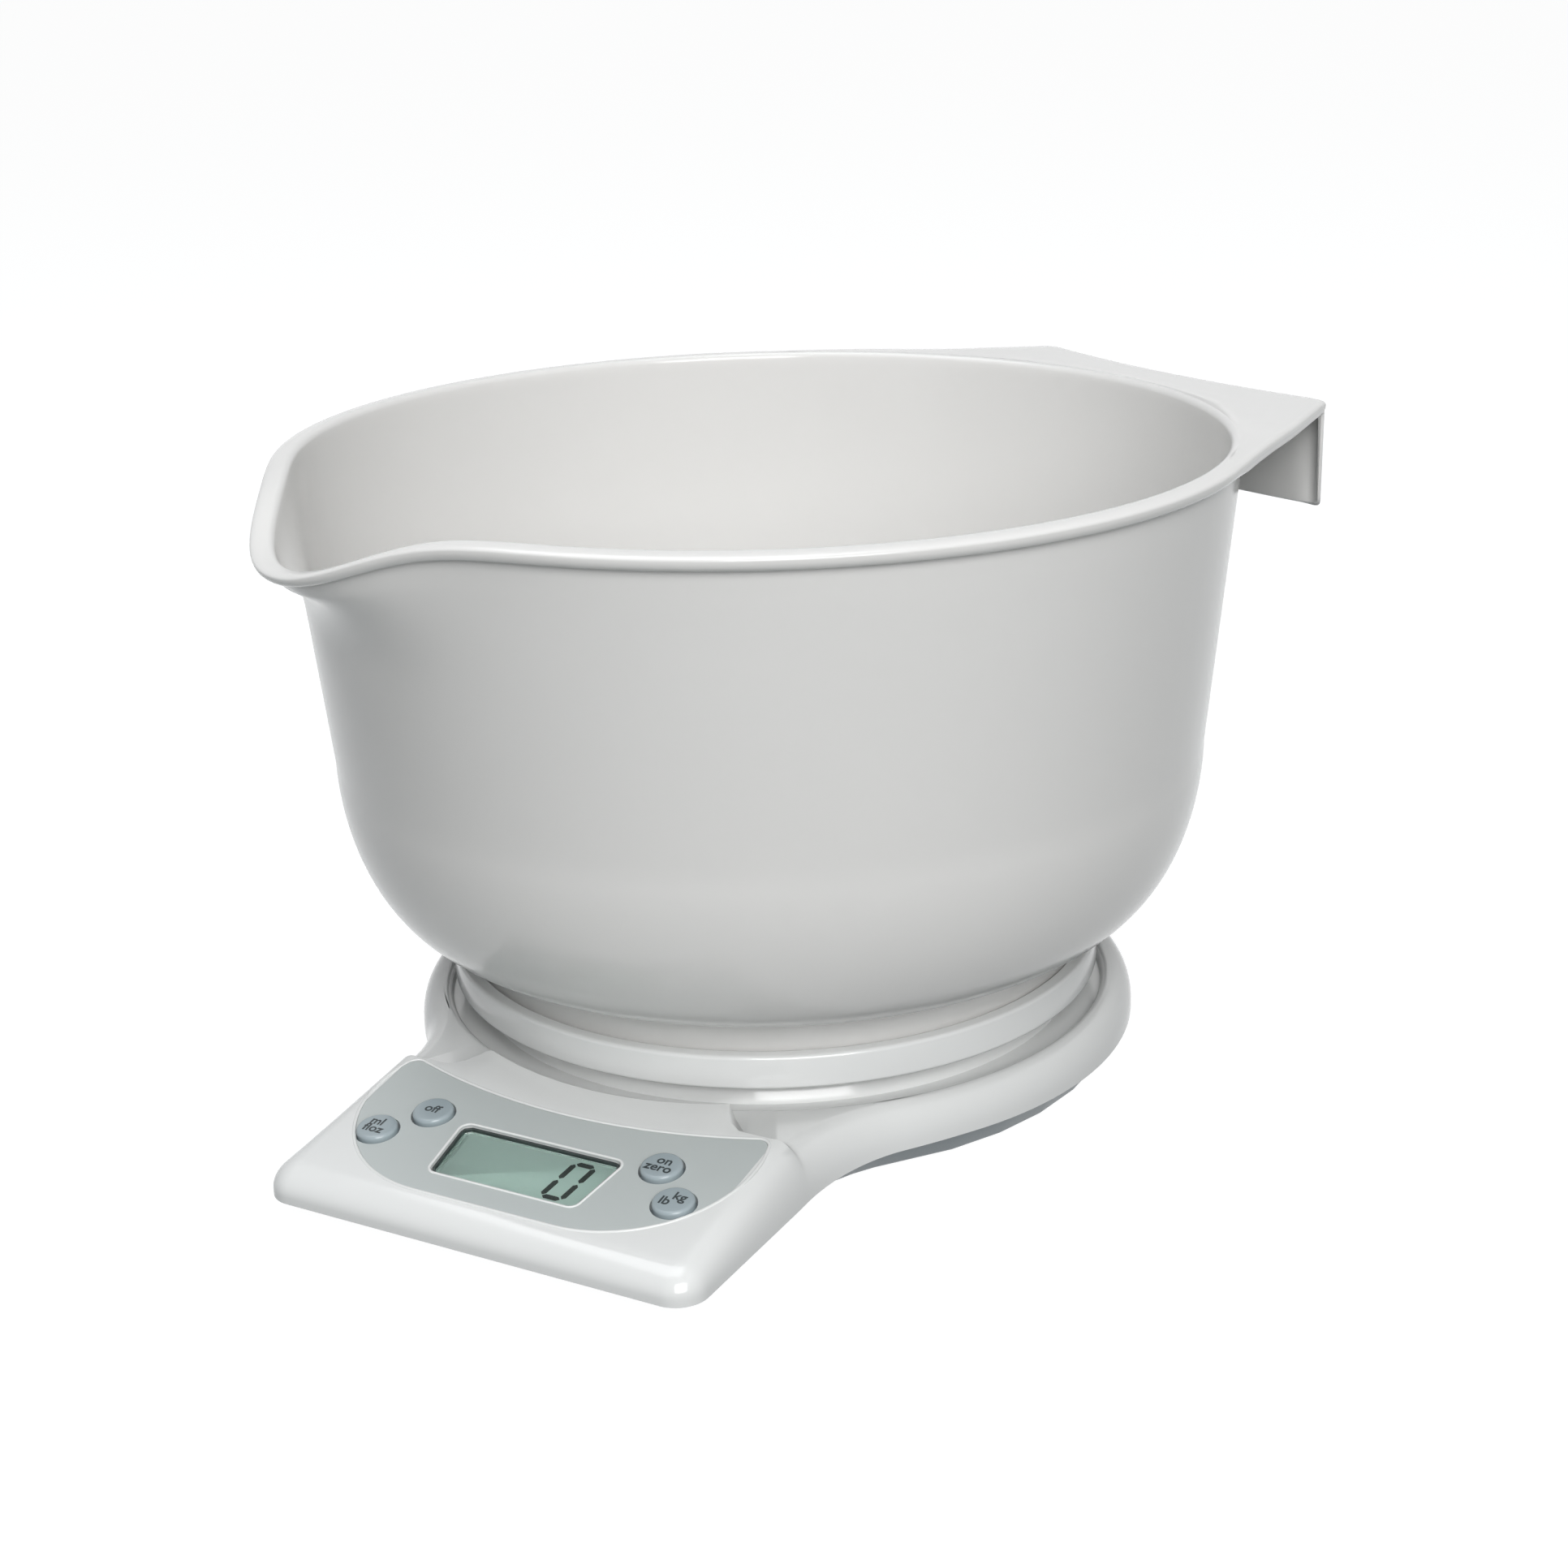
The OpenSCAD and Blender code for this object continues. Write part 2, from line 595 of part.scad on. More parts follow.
module platter_bracket() color("#b4b8bc") difference() {
    union() {
        translate([0, 0, bracket_z]) cylinder(r = bracket_r, h = bracket_t, $fn = fine);
        translate([cell_end - cell_seat_len, -cell_w / 2, cell_top])
            cube([cell_seat_len, cell_w, bracket_pad_h + bracket_t]);
    }
    for (x = cell_holes) translate([x, 0, cell_top - lap]) {
        cylinder(r = bracket_screw[2] + fit, h = bracket_top - cell_top + 2 * lap, $fn = small);
        translate([0, 0, lap + bracket_top - cell_top - bracket_screw[1]])
            cylinder(r1 = bracket_screw[2] + fit, r2 = bracket_screw[0] + snug,
                     h = bracket_screw[1], $fn = small);
    }
    for (a = [90, 210, 330]) rotate([0, 0, a]) translate([boss_circle_r, 0, bracket_z - lap]) {
        cylinder(r = platter_screw[2] + fit, h = bracket_t + 2 * lap, $fn = small);
        translate([0, 0, lap]) cylinder(r1 = platter_screw[0] + snug, r2 = platter_screw[2] + snug,
                                        h = platter_screw[1], $fn = small);
    }
}

module bracket_screws() color("#9ea2a6")
    for (x = cell_holes) translate([x, 0, bracket_top]) mirror([0, 0, 1])
        csk_screw(bracket_screw, bracket_top - cell_top + screw_depth);

module platter_screws() color("#9ea2a6")
    for (a = [90, 210, 330]) rotate([0, 0, a])
        translate([boss_circle_r, 0, bracket_z]) csk_screw(platter_screw, bracket_t + boss_h);

module platter() color("#e2e1dd") difference() {
    union() {
        rotate_extrude($fn = fine) polygon([
            [0, platter_under], [seat_r, platter_under], [seat_r, platter_z],
            [platter_r - 0.7, platter_z], [platter_r, platter_z + 0.7],
            [platter_r, platter_top - 1.4], [platter_r - 0.4, platter_top - 0.4],
            [platter_r - 1.4, platter_top], [seat_r + 0.5, platter_top],
            [seat_r, platter_top - 0.5], [seat_r, seat_z], [0, seat_z]]);
        for (a = [90, 210, 330]) rotate([0, 0, a]) translate([boss_circle_r, 0, bracket_top])
            cylinder(r = 3.6, h = boss_h + lap, $fn = small);
        for (a = [15 : 30 : 345]) rotate([0, 0, a])
            translate([boss_circle_r + 8, -0.7, platter_under - platter_rib_h])
                cube([seat_r - boss_circle_r - 9, 1.4, platter_rib_h + lap]);
    }
    for (a = [90, 210, 330]) rotate([0, 0, a]) translate([boss_circle_r, 0, bracket_top - lap])
        cylinder(r = platter_screw[2] + bite, h = boss_h + lap + 0.8, $fn = small);
}

// ---------------------------------------------------------------- bowl
rim_z = seat_z + bowl_h;
knee_z = seat_z + knee_h;
body_low = seat_z + foot_ring_h;
foot_gap = 0.4;
foot_r = seat_r - foot_gap;
bowl_base_r = foot_r + base_ledge;
bowl_n = 84;
side_top_z = rim_z - lip_h;
side_r = mouth_r + bowl_wall;

function spout_bump(a) = exp(-pow(abs(a > 180 ? a - 360 : a) / spout_half_angle, 2.2));
// One row of the bowl: a is measured from the spout, f is the spout's share.
function bowl_row(r, z, f) = [for (i = [0 : bowl_n - 1])
    let (a = 360 * i / bowl_n, b = f * spout_bump(a), q = r + spout_reach * b)
    [q * sin(a), -q * cos(a), z - spout_dip * b * f]];
function swell(z) = ease((z - rim_z + spout_depth) / spout_depth);
// Side wall above the turn, and the round turn under it.
function side_row(t, k) = let (z = lerp(knee_z, side_top_z, t))
    bowl_row(lerp(knee_r, side_r, t) - k, z, swell(z));
function turn_row(a, k) = bowl_row(
    bowl_base_r - k + (knee_r - bowl_base_r) * cos(a),
    knee_z - (knee_z - body_low - 1 - k) * sin(a), 0);
function lip_row(dr, dz) = bowl_row(mouth_r + dr, rim_z + dz, 1);
turn_steps = [90, 76, 62, 49, 36, 24, 12];
side_steps = [0, 0.25, 0.5, 0.68, 0.82, 0.92, 1];

function bowl_rows() = concat(
    [bowl_row(bowl_base_r - 1, body_low, 0)],
    [for (a = turn_steps) turn_row(a, 0)],
    [for (t = side_steps) side_row(t, 0)],
    [lip_row(lip_w - 0.5, -lip_h), lip_row(lip_w, -lip_h + 0.7), lip_row(lip_w, -1.3),
     lip_row(lip_w - 0.7, -0.4), lip_row(lip_w - 2.2, 0), lip_row(1.4, -0.2), lip_row(0, -1.3)],
    [for (j = [0 : len(side_steps) - 1]) side_row(
        min(0.97, side_steps[len(side_steps) - 1 - j]), bowl_wall)],
    [for (j = [0 : len(turn_steps) - 1]) turn_row(
        turn_steps[len(turn_steps) - 1 - j], bowl_wall)]);

// Plan of the shelf: straight sides leave the lip at a tangent and end at the
// corners of the grip, whose outer edge bows in.
lip_out_r = mouth_r + lip_w;
corner_r = norm([grip_half, grip_reach]);
leave_turn = atan2(grip_half, grip_reach) + acos(lip_out_r / corner_r);
bow_r = (pow(grip_half, 2) + pow(grip_bow, 2)) / (2 * grip_bow);
module grip_plan(d) {
    offset(r = grip_corner + d) offset(delta = -grip_corner) difference() {
        polygon([for (s = [-1, 1]) each [
            [s * (s < 0 ? lip_out_r * sin(leave_turn) : grip_half),
             s < 0 ? lip_out_r * cos(leave_turn) : grip_reach],
            [s * (s < 0 ? grip_half : lip_out_r * sin(leave_turn)),
             s < 0 ? grip_reach : lip_out_r * cos(leave_turn)]]]);
        translate([0, grip_reach - grip_bow + bow_r]) circle(r = bow_r, $fn = 2 * fine);
    }
}
// The part of the grip's plan that lies outside the mouth.
module shelf_plan() {
    difference() {
        grip_plan(0);
        circle(r = mouth_r + 2, $fn = fine);
    }
}
module grip_band() {
    difference() {
        shelf_plan();
        offset(delta = -grip_wall) grip_plan(0);
    }
}

module bowl() color("#dedcd6") rotate([0, 0, handle_turn - 90]) {
    capped_shell(bowl_rows(), [0, 0, body_low], [0, 0, body_low + 1 + bowl_wall]);
    rotate_extrude($fn = fine) polygon([
        [foot_r - foot_ring_w, seat_z + 0.5], [foot_r - foot_ring_w + 0.5, seat_z],
        [foot_r - 0.5, seat_z], [foot_r, seat_z + 0.5], [foot_r, body_low + lap],
        [foot_r - foot_ring_w, body_low + lap]]);
    translate([0, 0, rim_z - 1 - grip_wall]) linear_extrude(grip_wall) shelf_plan();
    translate([0, 0, rim_z - 1 - lip_h]) linear_extrude(lip_h) difference() {
        grip_band();
        circle(r = lip_out_r - 1.5, $fn = fine);
    }
    translate([0, 0, rim_z - 1 - grip_depth]) linear_extrude(grip_depth) intersection() {
        grip_band();
        translate([-2 * grip_half, grip_reach - grip_bow - 2 * grip_wall])
            square([4 * grip_half, 4 * grip_corner + grip_bow]);
    }
}

// ---------------------------------------------------------------- control end
module control_label() color("#b1b6b4") on_panel() difference() {
    translate([0, 0, -label_t]) linear_extrude(label_t) label_plan(0);
    translate([0, 0, -lap]) linear_extrude(2 * lap) window_plan(0);
    for (p = key_places) translate([p[0], p[1], -lap])
        cylinder(r = key_r + fit, h = 2 * lap, $fn = small);
}

// The collar stands in the opening, the pane lies in the collar on the display, and
// the display's larger lower plate lies under the frame's.
plate_edge = 2.3;
plate_half = window_top_half + plate_edge;
plate_up = window_h / 2 + 2;
module display_plate(low, t) {
    translate([-plate_half, window_y - plate_up, low]) cube([2 * plate_half, 2 * plate_up, t]);
}
module in_collar(low, t, gap) {
    translate([0, 0, low]) linear_extrude(t) window_plan(-snug - collar_t - gap);
}

module display_frame() color("#3a4444") on_panel() difference() {
    union() {
        display_plate(frame_low, frame_t);
        translate([0, 0, frame_low]) linear_extrude(-frame_low - collar_drop) window_plan(-snug);
    }
    in_collar(frame_low - lap, -frame_low + 2 * lap, 0);
}
module display_window() color("#cfd8d6", 0.4) on_panel() in_collar(-cover_wall, window_t, snug);
module display_glass() color("#9bb0a6") on_panel() {
    display_plate(glass_low, glass_t - frame_t);
    in_collar(glass_low, glass_t, snug);
}
module contact_strips() color("#2c2c30") on_panel()
    for (s = [-1, 1])
        translate([-window_low_half, window_y + s * (plate_up - strip_w / 2) - strip_w / 2, board_top])
            cube([2 * window_low_half, strip_w, strip_t]);

module circuit_board() color("#2f6b45") on_panel() difference() {
    translate([-board_half, board_front, board_low])
        cube([2 * board_half, board_back - board_front, board_t]);
    for (p = board_posts) translate([p[0], p[1], board_low - lap])
        cylinder(r = board_screw[2] + fit, h = board_t + 2 * lap, $fn = small);
    for (s = [-1, 1]) translate([s * board_half, board_front, board_low - lap])
        rotate([0, 0, 45]) cube([5, 5, 4 * lap + board_t], center = true);
}
module board_screws() color("#9ea2a6") on_panel()
    for (p = board_posts) translate([p[0], p[1], board_low - board_screw[1]])
        pan_screw(board_screw, board_screw[1] + board_t + 2.8);
module chip_cover() color("#17181a") on_panel() translate([0, 2, board_low]) rotate_extrude($fn = small)
    polygon(concat([[0, 0]], [for (a = [0 : 15 : 90]) [5 * cos(a), -1.2 * sin(a)]]));
// Capacitors, the wires' connector and chips, as radius or length, width and height.
capacitor = [2, 2.2];
connector = [8, 3.2, 1.6];
chip = [2, 1.2, 0.7];
module board_parts() color("#6d7276") on_panel() {
    for (x = [15, 25]) translate([x - board_half, 7, board_low - capacitor[1]])
        cylinder(r = capacitor[0], h = capacitor[1], $fn = small);
    translate([board_half / 3, 5, board_low - connector[2]]) cube(connector);
    for (x = [-6, 18, 30]) translate([x, 8.6, board_low - chip[2]]) cube(chip);
}
module key_switches() color("#33363a") on_panel()
    for (p = key_places) translate([p[0], p[1], board_top]) difference() {
        translate([-switch_w / 2, -switch_w / 2, 0]) cube([switch_w, switch_w, switch_h]);
        translate([0, 0, 0.3]) cylinder(r = stem_r + 0.2, h = switch_h, $fn = small);
    }

// A key: domed cap, flange under the panel, and the stem that works the switch.
module key(i) {
    on_panel() translate([key_places[i][0], key_places[i][1], 0]) rotate_extrude($fn = fine)
        polygon(concat(
            [[0, board_top + switch_h - 0.8], [stem_r, board_top + switch_h - 0.8],
             [stem_r, -cover_wall - 0.9], [key_r + key_flange, -cover_wall - 0.9],
             [key_r + key_flange, -cover_wall - 0.2], [key_r, -cover_wall - 0.2],
             [key_r, key_proud - 0.7]],
            [for (a = [30 : 30 : 90]) [key_r - 0.7 + 0.7 * cos(a), key_proud - 0.7 + 0.7 * sin(a)]],
            [[0, key_proud]]));
}
module key_off() color("#a9b4b7") key(0);
module key_on_zero() color("#a9b4b7") key(1);
module key_volume() color("#a9b4b7") key(2);
module key_weight() color("#a9b4b7") key(3);

// ---------------------------------------------------------------- battery
module battery_cap() color("#7f888d") translate([coin_x, coin_y, 0]) difference() {
    union() {
        translate([0, 0, pad_h]) cylinder(r = cap_r, h = cap_top - pad_h, $fn = fine);
        for (a = [0, 120, 240]) translate([0, 0, lug_low])
            wedge(lug_out_r, lug_t, a - lug_half, a + lug_half);
    }
    translate([-8, -1.1, pad_h - lap]) cube([16, 2.2, lap + 1.3]);
    translate([0, 0, cap_top - 0.8]) cylinder(r = 8, h = 1.8, $fn = fine);
}
module battery_cell() color("#d3d5d8") translate([coin_x, coin_y, coin_z]) rotate_extrude($fn = fine)
    polygon([[0, 0], [coin_r - 0.4, 0], [coin_r, 0.4], [coin_r, coin_t - 0.5],
             [coin_r - 1.2, coin_t - 0.5], [coin_r - 1.2, coin_t], [0, coin_t]]);
leaf_t = 0.4;
module contact_plus() color("#cfd2d4") translate([coin_x + coin_r + 0.2, coin_y - 2, coin_z + 0.4])
    cube([leaf_t, 4, leg_top - coin_z - 0.4]);
module contact_minus() color("#cfd2d4") translate([coin_x, coin_y - 2, 0])
    rotate([90, 0, 0]) translate([0, 0, -4]) linear_extrude(4) polygon([
        [4, coin_top + 0.1], [5, coin_top + 0.7], [5, coin_top + 0.7 + leaf_t],
        [3.8, coin_top + 0.1 + leaf_t], [-coin_r + 2 , coin_top + 0.5 + leaf_t],
        [-coin_r + 2, leg_top], [-coin_r + 2 - leaf_t, leg_top],
        [-coin_r + 2 - leaf_t, coin_top + 0.5]]);

// ---------------------------------------------------------------- wires
// A tube swept along a smooth curve through the route's own points.
function curve_at(p, i, t) = let (
        n = len(p) - 1, a = p[max(0, i - 1)], b = p[i], c = p[min(n, i + 1)], d = p[min(n, i + 2)])
    0.5 * (2 * b + (c - a) * t + (2 * a - 5 * b + 4 * c - d) * t * t
           + (3 * b - a - 3 * c + d) * t * t * t);
function route(p, n) = concat(
    [for (i = [0 : len(p) - 2]) for (k = [0 : n - 1]) curve_at(p, i, k / n)], [p[len(p) - 1]]);
function along(c, i) = let (v = c[min(len(c) - 1, i + 1)] - c[max(0, i - 1)]) v / norm(v);
module tube(points, r, flat, n) {
    c = route(points, n);
    rows = [for (i = [0 : len(c) - 1])
        let (t = along(c, i), s = cross(t, [0, 0, 1]), u = s / norm(s), w = cross(u, t))
        [for (k = [0 : 7]) let (a = 45 * k)
            c[i] + u * r * flat * cos(a) + w * r * sin(a)]];
    capped_shell(rows, c[0], c[len(c) - 1]);
}
cable_route = [[-10, -6.5, 9], [-11, -11, 8], [-22, -20, 5.2], [-28, -45, 4.8],
               [-26, -66, 4.8], [-20, -84, 5.6], [-16, -97, 7], [-16, -102, 8.2]];
plus_route = [[10.4, -45, 12.25], [15, -50, 12], [21, -62, 8], [16, -80, 5.4],
              [12, -97, 7], [12, -102, 8.2]];
minus_route = [[-8.2, -45, 12.25], [-13, -50, 12], [-18, -60, 8], [-10, -76, 5.4],
               [6, -90, 6], [8, -97, 7], [8, -102, 8.2]];
module sensor_cable() color("#c9c9c6") tube(cable_route, 0.6, 3, 3);
module battery_wires() {
    color("#b02a22") tube(plus_route, 0.6, 1, 3);
    color("#222222") tube(minus_route, 0.6, 1, 3);
}

bowl();
platter();
platter_bracket();
platter_screws();
bracket_screws();
load_cell();
strain_gauges();
cell_screws();
top_cover();
bottom_cover();
case_screws();
rubber_feet();
control_label();
display_frame();
display_window();
display_glass();
contact_strips();
circuit_board();
board_screws();
chip_cover();
board_parts();
key_switches();
key_off();
key_on_zero();
key_volume();
key_weight();
battery_cap();
battery_cell();
contact_plus();
contact_minus();
sensor_cable();
battery_wires();
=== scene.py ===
"""Kitchen scale with a mixing bowl: the finish of every surface, round the packed model."""
import bpy
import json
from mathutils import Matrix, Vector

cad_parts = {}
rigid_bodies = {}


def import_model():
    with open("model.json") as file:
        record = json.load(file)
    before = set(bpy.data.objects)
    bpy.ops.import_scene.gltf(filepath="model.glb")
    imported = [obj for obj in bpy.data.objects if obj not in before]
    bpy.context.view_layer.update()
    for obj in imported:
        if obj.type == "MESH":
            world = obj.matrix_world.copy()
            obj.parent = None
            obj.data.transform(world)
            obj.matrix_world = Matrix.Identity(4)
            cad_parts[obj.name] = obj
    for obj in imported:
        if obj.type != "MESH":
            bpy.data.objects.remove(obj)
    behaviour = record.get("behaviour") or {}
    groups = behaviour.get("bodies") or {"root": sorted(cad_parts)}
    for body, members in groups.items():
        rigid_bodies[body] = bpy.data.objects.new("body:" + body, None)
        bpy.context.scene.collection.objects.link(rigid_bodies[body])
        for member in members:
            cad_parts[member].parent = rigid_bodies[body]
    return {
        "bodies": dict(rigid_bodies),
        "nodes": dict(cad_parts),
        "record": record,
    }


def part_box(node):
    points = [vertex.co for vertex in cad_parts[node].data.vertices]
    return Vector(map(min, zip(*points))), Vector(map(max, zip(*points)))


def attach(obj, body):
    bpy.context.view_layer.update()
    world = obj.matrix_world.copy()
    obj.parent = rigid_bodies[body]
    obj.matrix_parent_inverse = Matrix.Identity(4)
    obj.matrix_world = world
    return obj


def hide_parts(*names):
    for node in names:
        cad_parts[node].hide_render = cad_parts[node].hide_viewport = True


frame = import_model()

for unused in set(bpy.data.objects) - set(frame["nodes"].values()) - set(frame["bodies"].values()):
    bpy.data.objects.remove(unused)
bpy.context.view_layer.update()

import json
from math import acos, asin, atan, atan2, cos, degrees, exp, hypot, pi, radians, sin, sqrt

import bmesh
from bpy.props import FloatProperty, FloatVectorProperty, PointerProperty
from bpy.types import Operator, Panel, PropertyGroup
from mathutils import Matrix, Vector

bl_info = {
    "name": "Kitchen Scale with Mixing Bowl",
    "version": (1, 0, 0),
    "blender": (4, 5, 0),
    "location": "View3D > Sidebar > Scale",
    "description": "Builds the visible surfaces of a kitchen scale round its CAD model",
    "category": "Add Mesh",
}

MM = 0.001
WELD = 0.002 * MM  # vertices closer than this become one


# ---------------------------------------------------------------- settings
def length(name, text, millimetres):
    """A length that the user may change, kept in metres."""
    return FloatProperty(name=name, description=text, default=millimetres * MM,
                         unit="LENGTH", precision=5)


def angle(name, text, value):
    """An angle that the user may change, given in degrees."""
    return FloatProperty(name=name, description=text, default=radians(value), unit="ROTATION")


def linear(hex_colour):
    """An sRGB hex value as the linear colour that shaders take."""
    parts = [int(hex_colour[i:i + 2], 16) / 255 for i in (1, 3, 5)]
    return [c / 12.92 if c <= 0.04045 else ((c + 0.055) / 1.055) ** 2.4 for c in parts] + [1.0]


def colour(name, text, hex_colour):
    """A colour that the user may change."""
    return FloatVectorProperty(name=name, description=text, subtype="COLOR", size=4,
                               min=0, max=1, default=linear(hex_colour))


class BowlSizes(PropertyGroup):
    """Sizes of the mixing bowl and its grip."""

    mouth_radius: length("Mouth radius", "Radius at the inner edge of the rim", 105.9)
    wall: length("Wall", "Thickness of the bowl's wall", 2.6)
    knee_radius: length("Knee radius", "Outside radius where the side turns in", 102)
    knee_height: length("Knee height", "Height of that turn above the foot", 54)
    base_radius: length("Base radius", "Outside radius of the body's lowest edge", 78)
    foot_radius: length("Foot radius", "Outside radius of the foot ring", 74.1)
    foot_height: length("Foot height", "Height of the foot ring", 11.4)
    foot_wall: length("Foot wall", "Thickness of the foot ring", 2.6)
    lip_width: length("Lip width", "Width of the rounded lip", 5.3)
    lip_depth: length("Lip depth", "Depth of the lip's outer face", 3.6)
    spout_reach: length("Spout reach", "How far the spout stands out past the rim", 11)
    spout_dip: length("Spout dip", "How far the spout's tip lies below the rim", 11.8)
    spout_height: length("Spout height", "Height over which the wall swells into the spout", 34)
    spout_turn: angle("Spout half width", "Half width of the spout round the bowl", 15)
    handle_turn: angle("Handle direction", "Direction of the grip seen from above", 62)
    grip_reach: length("Grip reach", "Distance from the axis to the grip's corners", 129.8)
    grip_half: length("Grip half length", "Half the distance between the corners", 50)
    grip_depth: length("Grip depth", "Depth of the grip's downturned wall", 26)
    grip_bow: length("Grip bow", "How far the outer edge bows in", 4)
    grip_wall: length("Grip wall", "Thickness of the downturned wall", 2.8)
    grip_roll: length("Grip roll", "Rounding from the shelf to the downturned wall", 3.4)
    grip_corner: length("Grip corner", "Rounding of the corners seen from above", 5.5)
    shelf_drop: length("Shelf drop", "How far the shelf lies below the rim", 0.9)


class PlatterSizes(PropertyGroup):
    """Sizes of the weighing platter."""

    rim_width: length("Rim width", "Width of the rim round the bowl's seat", 3.5)
    rim_height: length("Rim height", "Height of the upright rim", 7.8)
    seat_depth: length("Seat depth", "Depth of the seat", 3.8)
    floor: length("Floor", "Thickness of the floor", 2.4)
    boss_circle: length("Boss circle", "Radius of the circle of the bosses", 22)


class CoverSizes(PropertyGroup):
    """Sizes of the housing."""

    round_radius: length("Round radius", "Radius of the round part", 86.5)
    front_half: length("Front half width", "Half the width of the control end", 53.2)
    front_y: length("Front", "Distance from the weighing axis to the front edge", 133.4)
    front_corner: length("Front corner", "Radius of the front corners", 7)
    neck_radius: length("Neck radius", "Radius of the hollow neck", 40)
    wall: length("Wall", "Thickness of both covers", 2)
    edge_round: length("Round edge height", "Height of the cover's edge at the round end", 8.5)
    edge_front: length("Front edge height", "Height of the cover's edge at the front", 5.4)
    crest: length("Crest height", "Height of the crest round the platter", 17.5)
    gutter: length("Gutter height", "Height of the gutter under the platter", 14.5)
    tower: length("Tower height", "Height of the raised middle", 19.5)
    roll_round: length("Round edge roll", "Width of the rolled edge at the round end", 4.6)
    roll_front: length("Front edge roll", "Width of the rolled edge at the front", 6.6)
    well_radius: length("Well radius", "Radius of the opening for the bracket", 34)
    crease: length("Crease width", "Width of the step behind the control panel", 2.2)


class PanelSizes(PropertyGroup):
    """Sizes of the control panel."""

    middle: length("Middle", "Distance from the weighing axis to the panel's middle", 112.5)
    height: length("Height", "Height of the panel's middle over the table", 15)
    slope: angle("Slope", "Slope of the panel", degrees(atan(0.16)))
    label: length("Label thickness", "Thickness of the label", 0.5)
    bead: length("Bead width", "Width of the raised border round the label", 0.75)
    window_top: length("Window top", "Half the width of the display opening at its top", 20.4)
    window_low: length("Window bottom", "Half the width of the display opening below", 18.2)
    window_height: length("Window height", "Height of the display opening", 17)
    window_middle: length("Window middle", "How far the opening's middle lies up the panel", 0.65)
    key_radius: length("Key radius", "Radius of a key cap", 4.5)
    key_proud: length("Key height", "How far a key stands above the panel", 1.3)
    key_hole: length("Key gap", "Gap round a key", 0.5)
    legend: length("Legend size", "Size of the keys' lettering", 3.4)
    digit: length("Digit height", "Height of the display's digit", 11.8)
    digit_x: length("Digit across", "Place of the digit's foot, across the panel", 8.2)
    digit_y: length("Digit up", "Place of the digit's foot, up the panel", -5.0)


class Finishes(PropertyGroup):
    """Colours of the visible plastics."""

    bowl: colour("Bowl", "Warm white of the bowl", "#E4E3E1")
    cover: colour("Housing", "White of the housing and the platter", "#E5E6E5")
    grey: colour("Lower cover", "Grey of the lower cover", "#8D979C")
    label: colour("Label", "Grey of the printed label", "#BCC2C1")
    key: colour("Keys", "Grey of the keys", "#9EAAAF")
    print: colour("Legends", "Dark grey of the legends", "#2C3436")
    display: colour("Display", "Green grey of the display", "#CBE3DB")


SETTINGS = {"scale_bowl": BowlSizes, "scale_platter": PlatterSizes, "scale_cover": CoverSizes,
            "scale_panel": PanelSizes, "scale_finish": Finishes}


# ---------------------------------------------------------------- making pieces
def placed(name, data):
    """A new object in the scene."""
    made = bpy.data.objects.new(name, data)
    bpy.context.scene.collection.objects.link(made)
    return made


def piece(name, bm, body, look, slot, *nodes, sharp=35):
    """Makes an object of a bmesh, smooth up to the sharp angle, and rides it on a body in
    place of the nodes that are named."""
    mesh = bpy.data.meshes.new(name)
    bmesh.ops.remove_doubles(bm, verts=bm.verts, dist=WELD)
    bmesh.ops.dissolve_degenerate(bm, edges=bm.edges, dist=WELD / 2)
    bmesh.ops.recalc_face_normals(bm, faces=bm.faces)
    bm.to_mesh(mesh)
    bm.free()
    for face in mesh.polygons:
        face.use_smooth = True
    mesh.set_sharp_from_angle(angle=radians(sharp))
    mesh.materials.append(look)
    made = placed(name, mesh)
    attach(made, body)
    if nodes:
        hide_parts(*nodes)


def outline(bm, points):
    """A closed loop of vertices and edges."""
    verts = [bm.verts.new(p) for p in points]
    for a, b in zip(verts, verts[1:] + verts[:1]):
        bm.edges.new((a, b))
    return verts


def loop_edges(verts):
    """The edges of a closed loop of vertices."""
    return [next(e for e in a.link_edges if b in e.verts)
            for a, b in zip(verts, verts[1:] + verts[:1])]


def next_ring(bm, verts, points):
    """Extrudes a loop of edges once and sets the new loop on points."""
    grown = bmesh.ops.extrude_edge_only(bm, edges=loop_edges(verts))["geom"]
    fresh = {v for v in grown if isinstance(v, bmesh.types.BMVert)}
    ring = [next(e.other_vert(v) for e in v.link_edges if e.other_vert(v) in fresh)
            for v in verts]
    for v, p in zip(ring, points):
        v.co = p
    return ring


def loft(bm, rows):
    """A skin through rows of points; returns its rings of vertices."""
    rings = [outline(bm, rows[0])]
    for row in rows[1:]:
        rings.append(next_ring(bm, rings[-1], row))
    return rings


def fill(bm, *loops):
    """Fills the flat face between one outer loop of vertices and its holes."""
    edges = [e for verts in loops for e in loop_edges(verts)]
    bmesh.ops.triangle_fill(bm, use_beauty=True, edges=edges)


def section(bm, corners):
    """A section in the YZ plane: (radius, height, fillet) corners, rounded with bevels."""
    verts = [bm.verts.new((0, -r, z)) for r, z, _ in corners]
    for a, b in zip(verts, verts[1:]):
        bm.edges.new((a, b))
    for v, (_, _, fillet) in zip(verts, corners):
        if fillet:
            bmesh.ops.bevel(bm, geom=[v], offset=fillet, segments=6, profile=0.5,
                            affect="VERTICES", material=-1)


def spun(bm, steps):
    """Turns the section in bm once round the vertical axis."""
    bmesh.ops.spin(bm, geom=bm.verts[:] + bm.edges[:], cent=(0, 0, 0), axis=(0, 0, 1),
                   angle=2 * pi, steps=steps, use_merge=True)


def ease(t):
    """A smooth step from 0 to 1."""
    t = min(1, max(0, t))
    return t * t * (3 - 2 * t)


